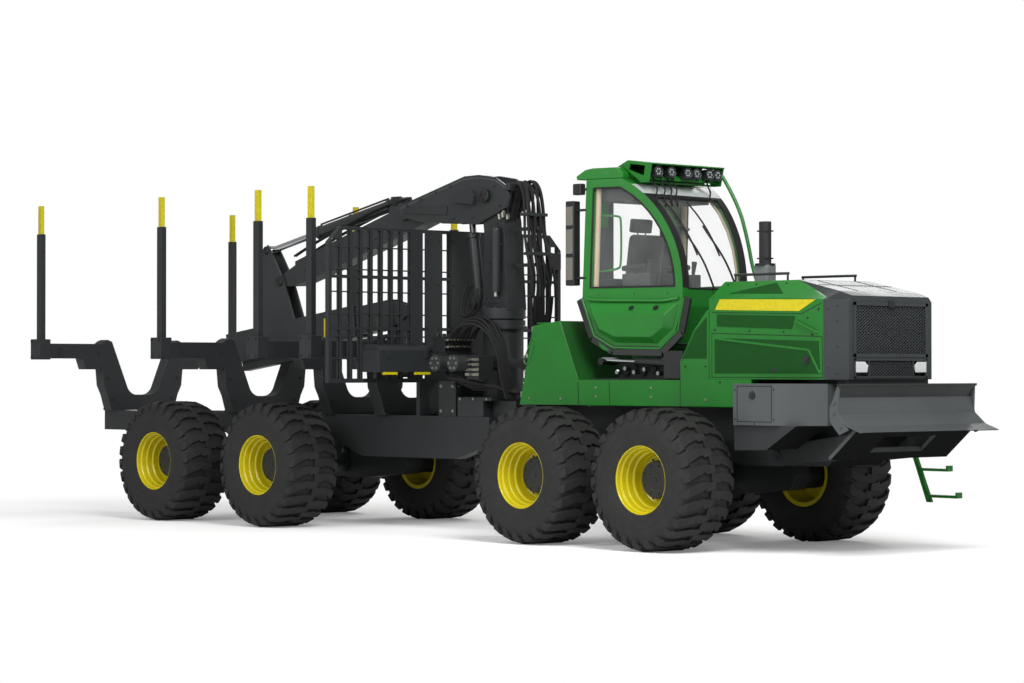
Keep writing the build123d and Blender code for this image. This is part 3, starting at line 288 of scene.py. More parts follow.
def finish(name, mesh, material, body, bevel=0.0, replaces=(), smooth=40.0):
    """Turns a bmesh into a piece of the scene that moves with a body."""
    mesh.normal_update()
    data = bpy.data.meshes.new(name)
    mesh.to_mesh(data)
    mesh.free()
    made = show(name, data)
    data.materials.append(material)
    data.shade_smooth()
    data.set_sharp_from_angle(angle=math.radians(smooth))
    if bevel:
        rounding = made.modifiers.new("edges", "BEVEL")
        rounding.width = bevel
        rounding.segments = 2
        rounding.limit_method = "ANGLE"
        rounding.angle_limit = math.radians(35)
        rounding.use_clamp_overlap = True
        rounding.harden_normals = True
    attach(made, body)
    if replaces:
        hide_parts(*replaces)
    return made


def piece(
    name, mesh, material, body="front_chassis", bevel=0.0, smooth=40.0, replaces=(), slot=None
):
    """A new piece of closed solids, its faces turned outwards."""
    bmesh.ops.recalc_face_normals(mesh, faces=mesh.faces)
    slot = slot or SLOTS.get(material, "dark_paint")
    return finish(name, mesh, material, body, bevel, replaces, smooth)


def meshes(count):
    return (bmesh.new() for _ in range(count))


def node_mesh(node):
    """A copy of a CAD node's mesh with its triangles joined up and its flat faces whole."""
    mesh = bmesh.new()
    mesh.from_mesh(frame["nodes"][node].data)
    bmesh.ops.remove_doubles(mesh, verts=mesh.verts, dist=0.00005)
    bmesh.ops.dissolve_limit(
        mesh, angle_limit=math.radians(1.0), verts=mesh.verts, edges=mesh.edges
    )
    return mesh


def dress(node, mesh, material, bevel, smooth=32.0):
    """A CAD node's mesh with rounded edges in its own paint."""
    body = frame["nodes"][node]["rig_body"]
    return finish(
        f"{node}_skin", mesh, material, body, bevel, (node,), smooth
    )


def add_box(mesh, low, high):
    """A block between two corners."""
    low, high = Vector(low), Vector(high)
    place = Matrix.Translation((low + high) / 2) @ Matrix.Diagonal((*(high - low), 1.0))
    bmesh.ops.create_cube(mesh, size=1.0, matrix=place)


def add_rod(mesh, start, end, radius, end_radius=None, sides=20):
    """A round bar, or a cone, between two points."""
    start, end = Vector(start), Vector(end)
    turn = (end - start).to_track_quat("Z", "Y").to_matrix().to_4x4()
    bmesh.ops.create_cone(
        mesh,
        cap_ends=True,
        segments=sides,
        radius1=radius,
        radius2=radius if end_radius is None else end_radius,
        depth=(end - start).length,
        matrix=Matrix.Translation((start + end) / 2) @ turn,
    )


def add_bolt(mesh, foot, direction, size):
    """A hexagon head on its washer, standing on a surface."""
    foot, direction = Vector(foot), Vector(direction).normalized()
    add_rod(mesh, foot - direction * 0.002, foot + direction * size * 0.15, size * 0.72, sides=12)
    add_rod(mesh, foot, foot + direction * size * 0.55, size * 0.5, sides=6)


def bolt_ring(mesh, centre, out, radius, count, size, start=0.0):
    """Bolts in a ring about an axis along Y or Z, the first one a share of a step on from +X."""
    up = Vector((0, 0, 1)) if out[1] else Vector((0, 1, 0))
    for index in range(count):
        angle = math.tau * (index + start) / count
        arm = Vector((math.cos(angle), 0, 0)) + up * math.sin(angle)
        add_bolt(mesh, Vector(centre) + arm * radius, out, size)


def extrude(mesh, faces, shift):
    """Raises a copy of the faces, with walls, and gives its vertices."""
    raised = bmesh.ops.extrude_face_region(mesh, geom=faces, use_keep_orig=True)
    top = [v for v in raised["geom"] if isinstance(v, bmesh.types.BMVert)]
    bmesh.ops.translate(mesh, verts=top, vec=shift)
    return top


def add_prism(mesh, corners, shift):
    """A solid between a flat outline and its copy a shift away."""
    foot = [mesh.verts.new(corner) for corner in corners]
    return foot + extrude(mesh, [mesh.faces.new(foot)], shift)


def add_turned(mesh, profile, centre, axis, steps=48):
    """A profile of (distance along the axis, radius) spun about the axis through a centre."""
    centre, axis = Vector(centre), Vector(axis).normalized()
    across = axis.orthogonal().normalized()
    line = [mesh.verts.new(centre + axis * along + across * out) for along, out in profile]
    line += [mesh.edges.new(pair) for pair in zip(line, line[1:])]
    bmesh.ops.spin(
        mesh, geom=line, cent=centre, axis=axis, angle=math.tau, steps=steps, use_merge=True
    )


def add_ball(mesh, centre, radius, rings, sides):
    place = Matrix.Translation(centre)
    bmesh.ops.create_uvsphere(
        mesh, u_segments=sides, v_segments=rings, radius=radius, matrix=place
    )


def add_tube(mesh, points, radius, sides=12):
    """A bent tube of straight runs with a ball at each bend."""
    for start, end in zip(points, points[1:]):
        add_rod(mesh, start, end, radius, sides=sides)
    for bend in points[1:-1]:
        add_ball(mesh, bend, radius, 8, sides)


def span(mesh, stations, sides, heights):
    """A block between two stations, two sides and two heights."""
    low, high = zip(stations, sides, heights)
    add_box(mesh, at(*low), at(*high))


def strip(mesh, start, end, width, out, thickness):
    """A narrow flat strip between two points, standing on a surface that faces out."""
    start, end, out = Vector(start), Vector(end), Vector(out).normalized()
    across = (end - start).cross(out).normalized() * width / 2
    corners = (start - across, end - across, end + across, start + across)
    add_prism(mesh, corners, out * thickness)


def side_plate(mesh, outline, hand, y, thickness):
    """A plate on a side of the machine: its outline in stations and heights."""
    add_prism(mesh, [at(x, hand * y, z) for x, z in outline], (0, hand * thickness, 0))


def side_line(mesh, line, hand, y, width, thickness):
    """Strips along a line on a side of the machine, in stations and heights."""
    points = [at(x, hand * y, z) for x, z in line]
    for start, end in zip(points, points[1:]):
        strip(mesh, start, end, width, (0, hand, 0), thickness)


def side_bolts(mesh, places, hand, y, size):
    """Bolts on a side of the machine, at stations and heights."""
    for x, z in places:
        add_bolt(mesh, at(x, hand * y, z), (0, hand, 0), size)


def hose(name, points, radius, body="front_chassis", material=HOSE):
    """A smooth hose or bent pipe along its route, in stations, sides and heights."""
    curve = bpy.data.curves.new(name, "CURVE")
    curve.dimensions = "3D"
    curve.bevel_depth = radius
    curve.bevel_resolution = 3
    curve.resolution_u = 8
    curve.use_fill_caps = True
    run = curve.splines.new("NURBS")
    run.points.add(len(points) - 1)
    for target, source in zip(run.points, points):
        target.co = (*at(*source), 1.0)
    run.order_u = 3
    run.use_endpoint_u = True
    made = show(name, curve)
    curve.materials.append(material)
    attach(made, body)


def hoses(name, routes, radius, body="front_chassis", material=HOSE):
    """A row of hoses, numbered from 1."""
    for number, points in enumerate(routes, 1):
        hose(f"{name}_{number}", points, radius, body, material)


# Wheels: the tyre and rim are modelled once about the origin, their outer side towards +Y

TYRE_RADIUS = HUB_HEIGHT = 0.722
TREAD_BASE = 0.690
LUG_ROOT = 0.012
LUG_WAVER = 0.003
LUGS = 26
SHOULDER_DEPTH = 0.045


def lug(mesh, hand, turn):
    """One tread bar: narrow at the middle, swept back and wide at the shoulder."""
    crown = (
        # distance round the tyre and across it, at the tread's radius
        (0.000, -0.030), (0.086, -0.030), (0.096, 0.100), (0.080, 0.112), (0.110, 0.235),
        (0.165, 0.325), (0.062, 0.325), (0.022, 0.240), (-0.006, 0.112), (0.008, 0.100),
    )
    whole = add_prism(mesh, [(around, across, 0) for around, across in crown], (0, 0, 1))
    for index, vertex in enumerate(whole):
        around, across, level = vertex.co
        # the worn corners of its face stand a little forward and back by turns
        around += LUG_WAVER * level * (-1) ** index
        drop = max(0.0, across - 0.20) ** 2 * 2.0
        radius = TREAD_BASE - LUG_ROOT - drop + level * (TYRE_RADIUS - TREAD_BASE + LUG_ROOT)
        angle = turn + around / TREAD_BASE
        vertex.co = (radius * math.sin(angle), hand * across, -radius * math.cos(angle))


def shoulder(mesh, hand, turn):
    """The part of a tread bar that runs down the tyre's side."""
    rows = (
        # radius, distance out, and where it starts and ends round the tyre
        (0.691, 0.325, 0.062, 0.165),
        (0.650, 0.3435, 0.084, 0.180),
        (0.596, 0.3485, 0.108, 0.176),
    )
    rings = []
    for radius, out, start, end in rows:
        ring = []
        inside = out - SHOULDER_DEPTH
        for around, across in ((start, out), (end, out), (end, inside), (start, inside)):
            angle = turn + around / TREAD_BASE
            corner = (radius * math.sin(angle), hand * across, -radius * math.cos(angle))
            ring.append(mesh.verts.new(corner))
        rings.append(ring)
    mesh.faces.new(rings[0])
    mesh.faces.new(rings[-1])
    for upper, lower in zip(rings, rings[1:]):
        for index in range(4):
            after = (index + 1) % 4
            mesh.faces.new((upper[index], upper[after], lower[after], lower[index]))


def turned_mesh(profile, steps):
    """A wheel's part, spun about the axle."""
    mesh = bmesh.new()
    add_turned(mesh, profile, (0, 0, 0), (0, 1, 0), steps)
    return mesh


HALF_TYRE = (
    # across the tyre, radius: from the tread's middle down the side to the bead
    (0.000, 0.690), (0.200, 0.689), (0.262, 0.680), (0.305, 0.658), (0.330, 0.625),
    (0.342, 0.588), (0.347, 0.545), (0.349, 0.500), (0.3445, 0.492), (0.349, 0.484),
    (0.344, 0.440), (0.334, 0.400), (0.322, 0.372), (0.318, 0.352), (0.300, 0.344),
)
RIM = (
    # the dished wheel: a flange, three stepped bands and the disc
    (0.292, 0.356), (0.306, 0.353), (0.312, 0.342), (0.302, 0.334), (0.262, 0.330),
    (0.250, 0.316), (0.196, 0.311), (0.184, 0.296), (0.126, 0.290), (0.112, 0.272),
    (0.052, 0.266), (0.020, 0.246), (0.000, 0.205), (-0.004, 0.090), (-0.034, 0.090),
    (-0.034, 0.270), (-0.300, 0.300), (-0.306, 0.345), (-0.292, 0.356), (-0.285, 0.336),
    (0.285, 0.336), (0.292, 0.356),
)
HUB = (
    # the dark planetary hub
    (-0.030, 0.0), (-0.030, 0.196), (0.040, 0.196), (0.052, 0.190), (0.092, 0.188),
    (0.100, 0.178), (0.103, 0.090), (0.097, 0.084), (0.097, 0.026), (0.106, 0.020), (0.106, 0.0),
)
tyre_profile = [(-across, radius) for across, radius in reversed(HALF_TYRE[1:])] + list(HALF_TYRE)
tyre_mesh = turned_mesh(tyre_profile + tyre_profile[:1], 96)
for hand, phase in ((RIGHT, 0.0), (LEFT, 0.5)):
    for index in range(LUGS):
        for part_of_bar in (lug, shoulder):
            part_of_bar(tyre_mesh, hand, (phase + index) * math.tau / LUGS)
rim_mesh, hub_mesh = turned_mesh(RIM, 64), turned_mesh(HUB, 48)
for mesh in (tyre_mesh, rim_mesh, hub_mesh):
    bmesh.ops.remove_doubles(mesh, verts=mesh.verts, dist=0.0001)
nut_mesh = bmesh.new()
bolt_ring(nut_mesh, (0, -0.002, 0), (0, 1, 0), 0.225, 12, 0.028)
bolt_ring(nut_mesh, (0, 0.100, 0), (0, 1, 0), 0.150, 8, 0.018, 0.5)

WHEEL_PARTS = (
    # mesh, name, finish, slot, bevel, smoothing angle, the CAD node it replaces
    (tyre_mesh, "tread", TYRE, "tyre_rubber", 0.005, 30.0, "tyre"),
    (rim_mesh, "dish", YELLOW, "yellow_paint", 0.003, 24.0, "rim"),
    (hub_mesh, "hub", FRAME_GREY, "dark_paint", 0.002, 40.0, None),
    (nut_mesh, "nuts", FRAME_GREY, "dark_paint", 0.0, 40.0, None),
)
for body in frame["bodies"]:
    if not body.endswith("_wheel"):
        continue
    wheel = body.removesuffix("_wheel")
    low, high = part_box(f"{wheel}_tyre")
    centre = (low + high) / 2
    centre.z = HUB_HEIGHT
    turn = Matrix.Rotation(0.0 if "_left_" in body else math.pi, 4, "Z")
    for master, name, material, slot, bevel, smooth, node in WHEEL_PARTS:
        mesh = master.copy()
        bmesh.ops.transform(mesh, matrix=Matrix.Translation(centre) @ turn, verts=mesh.verts)
        replaced = (f"{wheel}_{node}",) if node else ()
        piece(f"{wheel}_{name}", mesh, material, body, bevel, smooth, replaced, slot)
for master, *_ in WHEEL_PARTS:
    master.free()


# The solids that keep their own shape: some as they are, the rest with rounded edges

for node, material in (
    ("hood_rails", FRAME_GREY), ("cab_windows", GLASS), ("cab_door_glass", GLASS)
):
    target = frame["nodes"][node].data
    target.materials.clear()
    target.materials.append(material)
skins = {}
for material, edge, nodes in (
    (FRAME_GREY, 0.003, "load_gate"),
    (FRAME_GREY, 0.005, "front_frame"),
    (FRAME_GREY, 0.006, "front_axle centre_link rear_frame rear_axle tool_box"),
    (FRAME_GREY, 0.008, "hydraulic_unit"),
    (FRAME_GREY, 0.010, "bunks"),
    (FRAME_GREY, 0.012, "front_left_bogie front_right_bogie rear_left_bogie rear_right_bogie"),
    (CRANE_GREY, 0.003, "lift_barrel jib_barrel"),
    (CRANE_GREY, 0.006, "crane_base jib extension"),
    (CRANE_GREY, 0.008, "crane_pillar boom"),
    (CRANE_GREY, 0.01, "grapple"),
    (CHROME, 0.002, "lift_rod jib_rod"),
    (IRON, 0.01, "engine_block"),
    (NOSE_GREY, 0.006, "nose"),
    (EXHAUST, 0.006, "exhaust_stack"),
    (BLADE_GREY, 0.006, "step_boxes"),
    (PLASTIC, 0.003, "work_lamps"),
    (GREEN, 0.004, "ladder"),
    (GREEN, 0.006, "hood side_panels light_bar cab_door"),
    (GREEN, 0.008, "rear_box cab_shell"),
    (GREEN, 0.01, "cab_base"),
    (GREEN, 0.012, "cab_roof"),
):
    for node in nodes.split():
        skins[node] = dress(node, node_mesh(node), material, edge)
skins["blade"] = dress("blade", node_mesh("blade"), BLADE_GREY, 0.002, 9.0)

BUNKS = (-10.640, -8.060, -6.180, -5.210)
STAKE_PLACES = [(FOREMOST + x, y) for x in BUNKS for y in (-1.53, 1.53)]
STAKE_SLIMMING = 0.70
slim_stakes = node_mesh("stakes")
for vertex in slim_stakes.verts:
    x, y, z = vertex.co
    near_x, near_y = min(STAKE_PLACES, key=lambda place: abs(place[0] - x) + abs(place[1] - y))
    vertex.co.x = near_x + STAKE_SLIMMING * (x - near_x)
    vertex.co.y = near_y + STAKE_SLIMMING * (y - near_y)
skins["stakes"] = dress("stakes", slim_stakes, FRAME_GREY, 0.003, 40.0)


# Hood: perforated doors, the stripe, seams, latches and bolts on both sides

HOOD_SIDE = 0.800
hood_holes, hood_stripe, hood_seams, hood_fittings, hood_ribs = meshes(5)
for hand in HANDS:
    for outline, thickness in (
        (((0.33, 2.135), (1.56, 2.015), (1.715, 1.79), (0.33, 1.79)), 0.004),
        (((0.40, 2.145), (1.70, 2.105), (1.715, 1.83), (1.575, 2.03)), 0.006),
        (((0.36, 2.385), (1.40, 2.355), (1.36, 2.225), (0.36, 2.262)), 0.003),
        (((-0.12, 1.94), (0.22, 1.94), (0.22, 2.36), (0.06, 2.22)), 0.003),
    ):
        side_plate(hood_holes, outline, hand, HOOD_SIDE, thickness)
    outline = ((0.400, 2.536), (1.665, 2.512), (1.450, 2.402), (0.335, 2.430))
    side_plate(hood_stripe, outline, hand, HOOD_SIDE, 0.003)
    vent = [
        at(x, hand * (HOOD_SIDE - 0.24 * share), 2.54 + 0.18 * share)
        for x, share in ((0.46, 0.30), (0.98, 0.86), (1.20, 0.22))
    ]
    add_prism(hood_holes, vent, (0, hand * 0.002, 0.003))
    for line in (
        ((1.745, 2.150), (0.29, 2.195), (0.29, 1.750), (1.750, 1.750)),
        ((1.745, 2.150), (1.752, 1.750)),
        ((0.29, 2.405), (1.480, 2.375), (1.745, 2.480)),
        ((0.252, 1.735), (0.252, 2.420)),
    ):
        side_line(hood_seams, line, hand, HOOD_SIDE, 0.007, 0.0015)
    rib = ((0.40, 2.135), (1.575, 2.020), (1.72, 1.79))
    side_line(hood_ribs, rib, hand, HOOD_SIDE, 0.022, 0.009)
    grip = ((1.41, 0.800, 2.31), (1.43, 0.822, 2.30), (1.68, 0.822, 2.20), (1.70, 0.800, 2.19))
    add_tube(hood_ribs, [at(x, hand * y, z) for x, y, z in grip], 0.010)
    span(hood_fittings, (1.515, 1.585), (hand * 0.800, hand * 0.814), (1.885, 1.955))
    for x, z, low, high, radius, sides in (
        (1.55, 1.92, 0.81, 0.82, 0.020, 16), (1.13, 1.82, 0.80, 0.806, 0.026, 20)
    ):
        add_rod(hood_fittings, at(x, hand * low, z), at(x, hand * high, z), radius, sides=sides)
    bolts = (
        (0.33, 2.23), (0.80, 2.215), (1.25, 2.20), (1.62, 2.17), (1.70, 2.42), (1.56, 2.335),
        (0.20, 1.86), (-0.08, 1.86), (0.08, 2.30), (0.40, 1.70), (0.62, 1.60), (0.62, 1.52),
    )
    side_bolts(hood_fittings, bolts, hand, HOOD_SIDE, 0.016)
    for x in (0.34, 0.72, 1.12):
        add_bolt(hood_fittings, at(x, hand * 0.608, 2.684), (0, hand * 0.6, 0.8), 0.016)
piece("hood_perforated_doors", hood_holes, GREEN_HOLES)
piece("hood_stripe", hood_stripe, STRIPE)
piece("hood_seams", hood_seams, SEAL)
piece("hood_ribs", hood_ribs, GREEN, bevel=0.002)
piece("hood_latches", hood_fittings, PLASTIC, bevel=0.001)


# Nose: a diamond mesh in a frame, lamps' lenses, latch and the bolts of its corner posts

NOSE_FRONT = 1.950
MESH_PITCH, MESH_SLOPE = 0.030, 0.62
mesh_bars, nose_frame, nose_lenses, nose_skirt, nose_black, hood_top_seams = meshes(6)
for side, low, high in ((0.540, 1.980, 2.460), (0.340, 1.760, 1.920)):
    reach = MESH_SLOPE * side
    for index in range(1, int((high - low + 2 * reach) / MESH_PITCH)):
        middle = low - reach + index * MESH_PITCH
        for slope in (MESH_SLOPE, -MESH_SLOPE):
            # each bar is cut off where it leaves the opening
            levels = [min(max(middle + slope * y, low), high) for y in (-side, side)]
            ends = [at(NOSE_FRONT - 0.008, (z - middle) / slope, z) for z in levels]
            inside = all(abs(end.y) <= side + 0.001 for end in ends)
            if inside and (ends[1] - ends[0]).length > 0.02:
                add_rod(mesh_bars, *ends, 0.0050, sides=4)
for y_from, y_to, z_from, z_to in (
    (-0.575, 0.575, 2.455, 2.490), (-0.575, 0.575, 1.950, 1.985),
    (-0.575, -0.535, 1.950, 2.490), (0.535, 0.575, 1.950, 2.490),
    (-0.565, 0.565, 1.915, 1.935), (-0.565, 0.565, 1.742, 1.763),
    (-0.565, -0.537, 1.742, 1.935), (0.537, 0.565, 1.742, 1.935),
    (-0.352, -0.336, 1.760, 1.920), (0.336, 0.352, 1.760, 1.920),
):
    span(nose_frame, (1.945, 1.958), (y_from, y_to), (z_from, z_to))
LENS = ((0.545, 1.905), (0.410, 1.905), (0.358, 1.868), (0.375, 1.800), (0.545, 1.800))
BONNET_EDGE = ((1.30, 2.688), (1.74, 2.560), (1.74, 2.556), (1.30, 2.684))
for hand in HANDS:
    for x, y, size, heights in (
        (1.868, 0.722, 0.018, (1.80, 2.06, 2.30, 2.45)), (1.80, 0.790, 0.016, (1.86, 2.18, 2.42))
    ):
        for z in heights:
            add_bolt(nose_frame, at(x, hand * y, z), (1, hand, 0), size)
    add_prism(nose_lenses, [at(NOSE_FRONT, hand * y, z) for y, z in LENS], (0.010, 0, 0))
    side_plate(nose_black, BONNET_EDGE, hand, 0.570, 0.02)
span(nose_skirt, (1.40, 1.925), (-0.62, 0.62), (1.50, 1.735))
span(nose_black, (1.946, 1.966), (-0.045, 0.045), (2.440, 2.500))
span(nose_black, (1.800, 1.905), (-0.56, 0.56), (1.745, 2.475))
for start, end, width, out, thickness in (
    ((1.26, -0.30, 2.7175), (1.78, -0.30, 2.6040), 0.008, (0.2, 0, 1), 0.003),
    ((1.26, 0.30, 2.7175), (1.78, 0.30, 2.6040), 0.008, (0.2, 0, 1), 0.003),
    ((1.50, -0.56, 2.6650), (1.50, 0.56, 2.6650), 0.008, (0.2, 0, 1), 0.003),
    ((0.262, -0.55, 2.720), (0.262, 0.55, 2.720), 0.008, (0, 0, 1), 0.002),
    ((1.235, -0.55, 2.720), (1.235, 0.55, 2.720), 0.008, (0, 0, 1), 0.002),
    ((0.28, -0.22, 2.720), (1.22, -0.22, 2.720), 0.007, (0, 0, 1), 0.002),
    ((0.28, 0.22, 2.720), (1.22, 0.22, 2.720), 0.007, (0, 0, 1), 0.002),
):
    strip(hood_top_seams, at(*start), at(*end), width, out, thickness)
piece("grille_mesh", mesh_bars, NOSE_GREY, replaces=("grille",))
piece("grille_frame", nose_frame, NOSE_GREY, bevel=0.003)
piece("nose_lamp_lenses", nose_lenses, LENS_WHITE, bevel=0.003)
piece("nose_skirt", nose_skirt, FRAME_GREY, bevel=0.006)
piece("radiator_and_latch", nose_black, PLASTIC, bevel=0.003)
piece("hood_top_seams", hood_top_seams, SEAL)


# Work lamps: a bezel, a lens and its diodes on each

LAMP_DEPTH = Vector((0.003, 0, 0))
lamp_bezels, lamp_lenses, lamp_diodes = meshes(3)
lamp_places = [(-0.800, y, 3.905, 0.058) for y in (-0.44, -0.24, 0.01, 0.15, 0.35, 0.475)]
lamp_places += [(1.928, y, 1.840, 0.060) for y in (-0.47, 0.47)]
for x, y, z, radius in lamp_places:
    front = at(x, y, z)
    bezel = (
        (-0.030, 1.04), (0.008, 1.06), (0.012, 1.0), (0.006, 0.88), (-0.004, 0.86), (-0.030, 1.04)
    )
    add_turned(
        lamp_bezels, [(along, radius * share) for along, share in bezel], front, (1, 0, 0), 24
    )
    add_rod(lamp_lenses, front, front + LAMP_DEPTH, radius * 0.87, sides=24)
    for index in range(6):
        angle = math.tau * index / 6
        around = Vector((0, radius * 0.5 * math.cos(angle), radius * 0.5 * math.sin(angle)))
        spot = front + LAMP_DEPTH + around
        add_rod(lamp_diodes, spot, spot + LAMP_DEPTH, radius * 0.2, radius * 0.14, sides=8)
piece("lamp_bezels", lamp_bezels, PLASTIC)
piece("lamp_lenses", lamp_lenses, LAMP_BACK)
piece("lamp_diodes", lamp_diodes, LAMP_WHITE)


# Cab: window gaskets, wipers, mirror unit, lining, seat and consoles

def cab_half(x):
    """Half the cab's width at a station."""
    return 0.750 - 0.250 / 1.220 * (x + 1.620)


def arch(z, inset=0.0):
    """The station of the windscreen's arch at a height, inside it by an inset."""
    return -1.690 + math.sqrt((1.292 - inset) ** 2 - (z - 2.675) ** 2)


def pillar(z):
    """The station of the rear pillar at a height."""
    return -1.620 + 0.050 * (z - 2.600) / 1.240


def window_line(inset, sill, steps=12):
    """Points round a side window, in stations and heights: up the pillar, then down the arch."""
    top = 3.840 - inset
    heights = [top + (sill - top) * index / steps for index in range(steps + 1)]
    line = [(pillar(sill) + inset, sill), (pillar(top) + inset, top)]
    return line + [(arch(z, inset), z) for z in heights]


def window_band(mesh, hand, outer, inner, sill):
    """A flat band round a side window between two insets."""
    outside, inside = (
        [
            mesh.verts.new(at(x, hand * (cab_half(x) - 0.002), z))
            for x, z in window_line(inset, height)
        ]
        for inset, height in ((outer, sill), (inner, sill + inner - outer))
    )
    faces = []
    for index in range(len(outside)):
        after = (index + 1) % len(outside)
        corners = (outside[index], outside[after], inside[after], inside[index])
        faces.append(mesh.faces.new(corners))
    extrude(mesh, faces, (0, hand * 0.006, 0))


gasket, door_gasket, screen_gasket, mirror, mirror_glass, lining, beige, seat_frame = meshes(8)
window_band(gasket, RIGHT, 0.086, 0.104, 2.686)
window_band(door_gasket, LEFT, 0.092, 0.124, 2.692)
for hand in HANDS:
    line = [
        at(arch(z), hand * (cab_half(arch(z)) - 0.092), z)
        for z in (2.67, 2.80, 2.95, 3.10, 3.25, 3.40, 3.52, 3.64)
    ]
    add_tube(screen_gasket, line, 0.010, sides=8)
for z in (2.672, 3.638):
    reach = cab_half(arch(z)) - 0.092
    add_rod(screen_gasket, at(arch(z), -reach, z), at(arch(z), reach, z), 0.010, sides=8)
piece("right_window_gasket", gasket, SEAL)
piece("door_gasket", door_gasket, SEAL, "cab_door")
piece("windscreen_gasket", screen_gasket, SEAL)

WIPERS = ((0.30, -0.02), (-0.05, -0.36))
wiper_arms = [
    [
        (-0.365, foot, 2.66),
        (-0.372, foot - 0.06, 2.80),
        (-0.415, (foot + tip) / 2, 3.02),
        (-0.530, tip + 0.02, 3.28),
        (-0.560, tip, 3.34),
    ]
    for foot, tip in WIPERS
]
wiper_blades = [
    [
        (arch(z) + 0.016, tip + 0.04 - 0.25 * (z - 3.34), z)
        for z in (3.02, 3.14, 3.26, 3.38, 3.50, 3.60)
    ]
    for _, tip in WIPERS
]
hoses("wiper_arm", wiper_arms, 0.011, material=PLASTIC)
hoses("wiper_blade", wiper_blades, 0.009, material=SEAL)

span(mirror, (-1.83, -1.70), (-0.80, -0.70), (2.72, 3.62))
span(mirror, (-1.72, -1.60), (-0.80, -0.72), (3.68, 3.80))
for z in (2.80, 3.52):
    add_rod(mirror, at(-1.76, -0.75, z), at(-1.57, -0.735, z), 0.014)
add_rod(mirror, at(-1.62, -0.74, 3.74), at(-1.55, -0.72, 3.74), 0.016)
for heights in ((2.78, 3.02), (3.06, 3.32), (3.36, 3.56)):
    span(mirror_glass, (-1.815, -1.715), (-0.806, -0.799), heights)
for heights in ((2.76, 3.16), (3.24, 3.58)):
    span(mirror_glass, (-1.835, -1.829), (-0.79, -0.71), heights)
piece("mirror_unit", mirror, PLASTIC, bevel=0.012)
piece("mirror_glass", mirror_glass, MIRROR_FACE, bevel=0.003)

SEAT_SIDE = -0.080
for hand in HANDS:
    line = [
        at(arch(z, 0.085), hand * (cab_half(arch(z, 0.085)) - 0.075), z)
        for z in (2.70, 2.90, 3.10, 3.30, 3.50, 3.66, 3.76)
    ]
    add_tube(beige, line, 0.020, sides=10)
    add_tube(beige, [at(-1.50, hand * 0.665, 2.66), at(-1.46, hand * 0.66, 3.76)], 0.030, sides=10)
    y = SEAT_SIDE + hand * 0.34
    span(lining, (-1.30, -0.90), (y - 0.06, y + 0.06), (2.60, 2.84))
    add_rod(lining, at(-0.96, y, 2.84), at(-0.94, y, 2.98), 0.018, 0.030)
    add_rod(lining, at(-1.34, y, 2.90), at(-1.02, y, 2.92), 0.030, sides=12)
    span(lining, (-1.555, -1.535), (hand * 0.36, hand * 0.68), (2.62, 3.78))
for stations, half, heights in (
    ((-1.50, -1.02), 0.58, (3.600, 3.785)),
    ((-1.555, -1.50), 0.66, (2.62, 2.79)),
    ((-1.30, -0.52), 0.46, (2.085, 2.105)),
    ((-0.62, -0.52), 0.34, (2.52, 2.66)),
):
    span(lining, stations, (-half, half), heights)
add_rod(lining, at(-0.58, 0.0, 2.20), at(-0.66, 0.0, 2.72), 0.030)
piece("cab_lining", lining, DARK_LINING, bevel=0.010)
piece("cab_trim", beige, BEIGE_LINING)
GRAB = (
    (-1.53, -0.62, 3.46), (-1.24, -0.58, 3.46), (-1.21, -0.58, 3.40),
    (-1.21, -0.58, 2.94), (-1.25, -0.58, 2.88), (-1.53, -0.62, 2.86),
)
hose("cab_grab_handle", GRAB, 0.012, material=GREEN)


def cushion(name, size, crown, place, lean, replaces=()):
    """A stuffed cushion: a crowned block with pulled-in sides."""
    mesh = bmesh.new()
    bmesh.ops.create_cube(mesh, size=1.0)
    bmesh.ops.subdivide_edges(mesh, edges=mesh.edges, cuts=5, use_grid_fill=True)
    for vertex in mesh.verts:
        x, y, z = vertex.co * 2
        swell = (1 - x**4) * (1 - y**4)
        vertex.co.x *= 1 - 0.05 * z**2
        vertex.co.y *= 1 - 0.05 * z**2
        vertex.co.z += crown * swell * (1 if z > 0 else -0.2)
    turn = Matrix.Translation(place) @ Matrix.Rotation(lean, 4, "Y") @ Matrix.Diagonal((*size, 1.0))
    bmesh.ops.transform(mesh, matrix=turn, verts=mesh.verts)
    made = finish(name, mesh, SEAT_CLOTH, "front_chassis", 0.0, replaces, 60.0)
    rounding = made.modifiers.new("rounding", "SUBSURF")
    rounding.levels = rounding.render_levels = 1


BACK_LEAN = math.radians(-81.5)
cushion("seat_cushion", (0.46, 0.48, 0.12), 0.10, at(-1.12, SEAT_SIDE, 2.640), 0.0, ("cab_seat",))
cushion("seat_back", (0.56, 0.46, 0.11), 0.12, at(-1.355, SEAT_SIDE, 2.99), BACK_LEAN)
cushion("seat_headrest", (0.15, 0.28, 0.09), 0.15, at(-1.405, SEAT_SIDE, 3.365), BACK_LEAN)
span(seat_frame, (-1.21, -1.01), (SEAT_SIDE - 0.11, SEAT_SIDE + 0.11), (2.085, 2.58))
span(seat_frame, (-1.34, -0.92), (SEAT_SIDE - 0.20, SEAT_SIDE + 0.20), (2.55, 2.585))
for y in (-0.06, 0.06):
    add_rod(seat_frame, at(-1.390, SEAT_SIDE + y, 3.22), at(-1.400, SEAT_SIDE + y, 3.32), 0.008)
piece("seat_frame", seat_frame, PLASTIC, bevel=0.006)


# Cab outside: sills, tub, levelling cylinder, roof fittings, cables and hoop

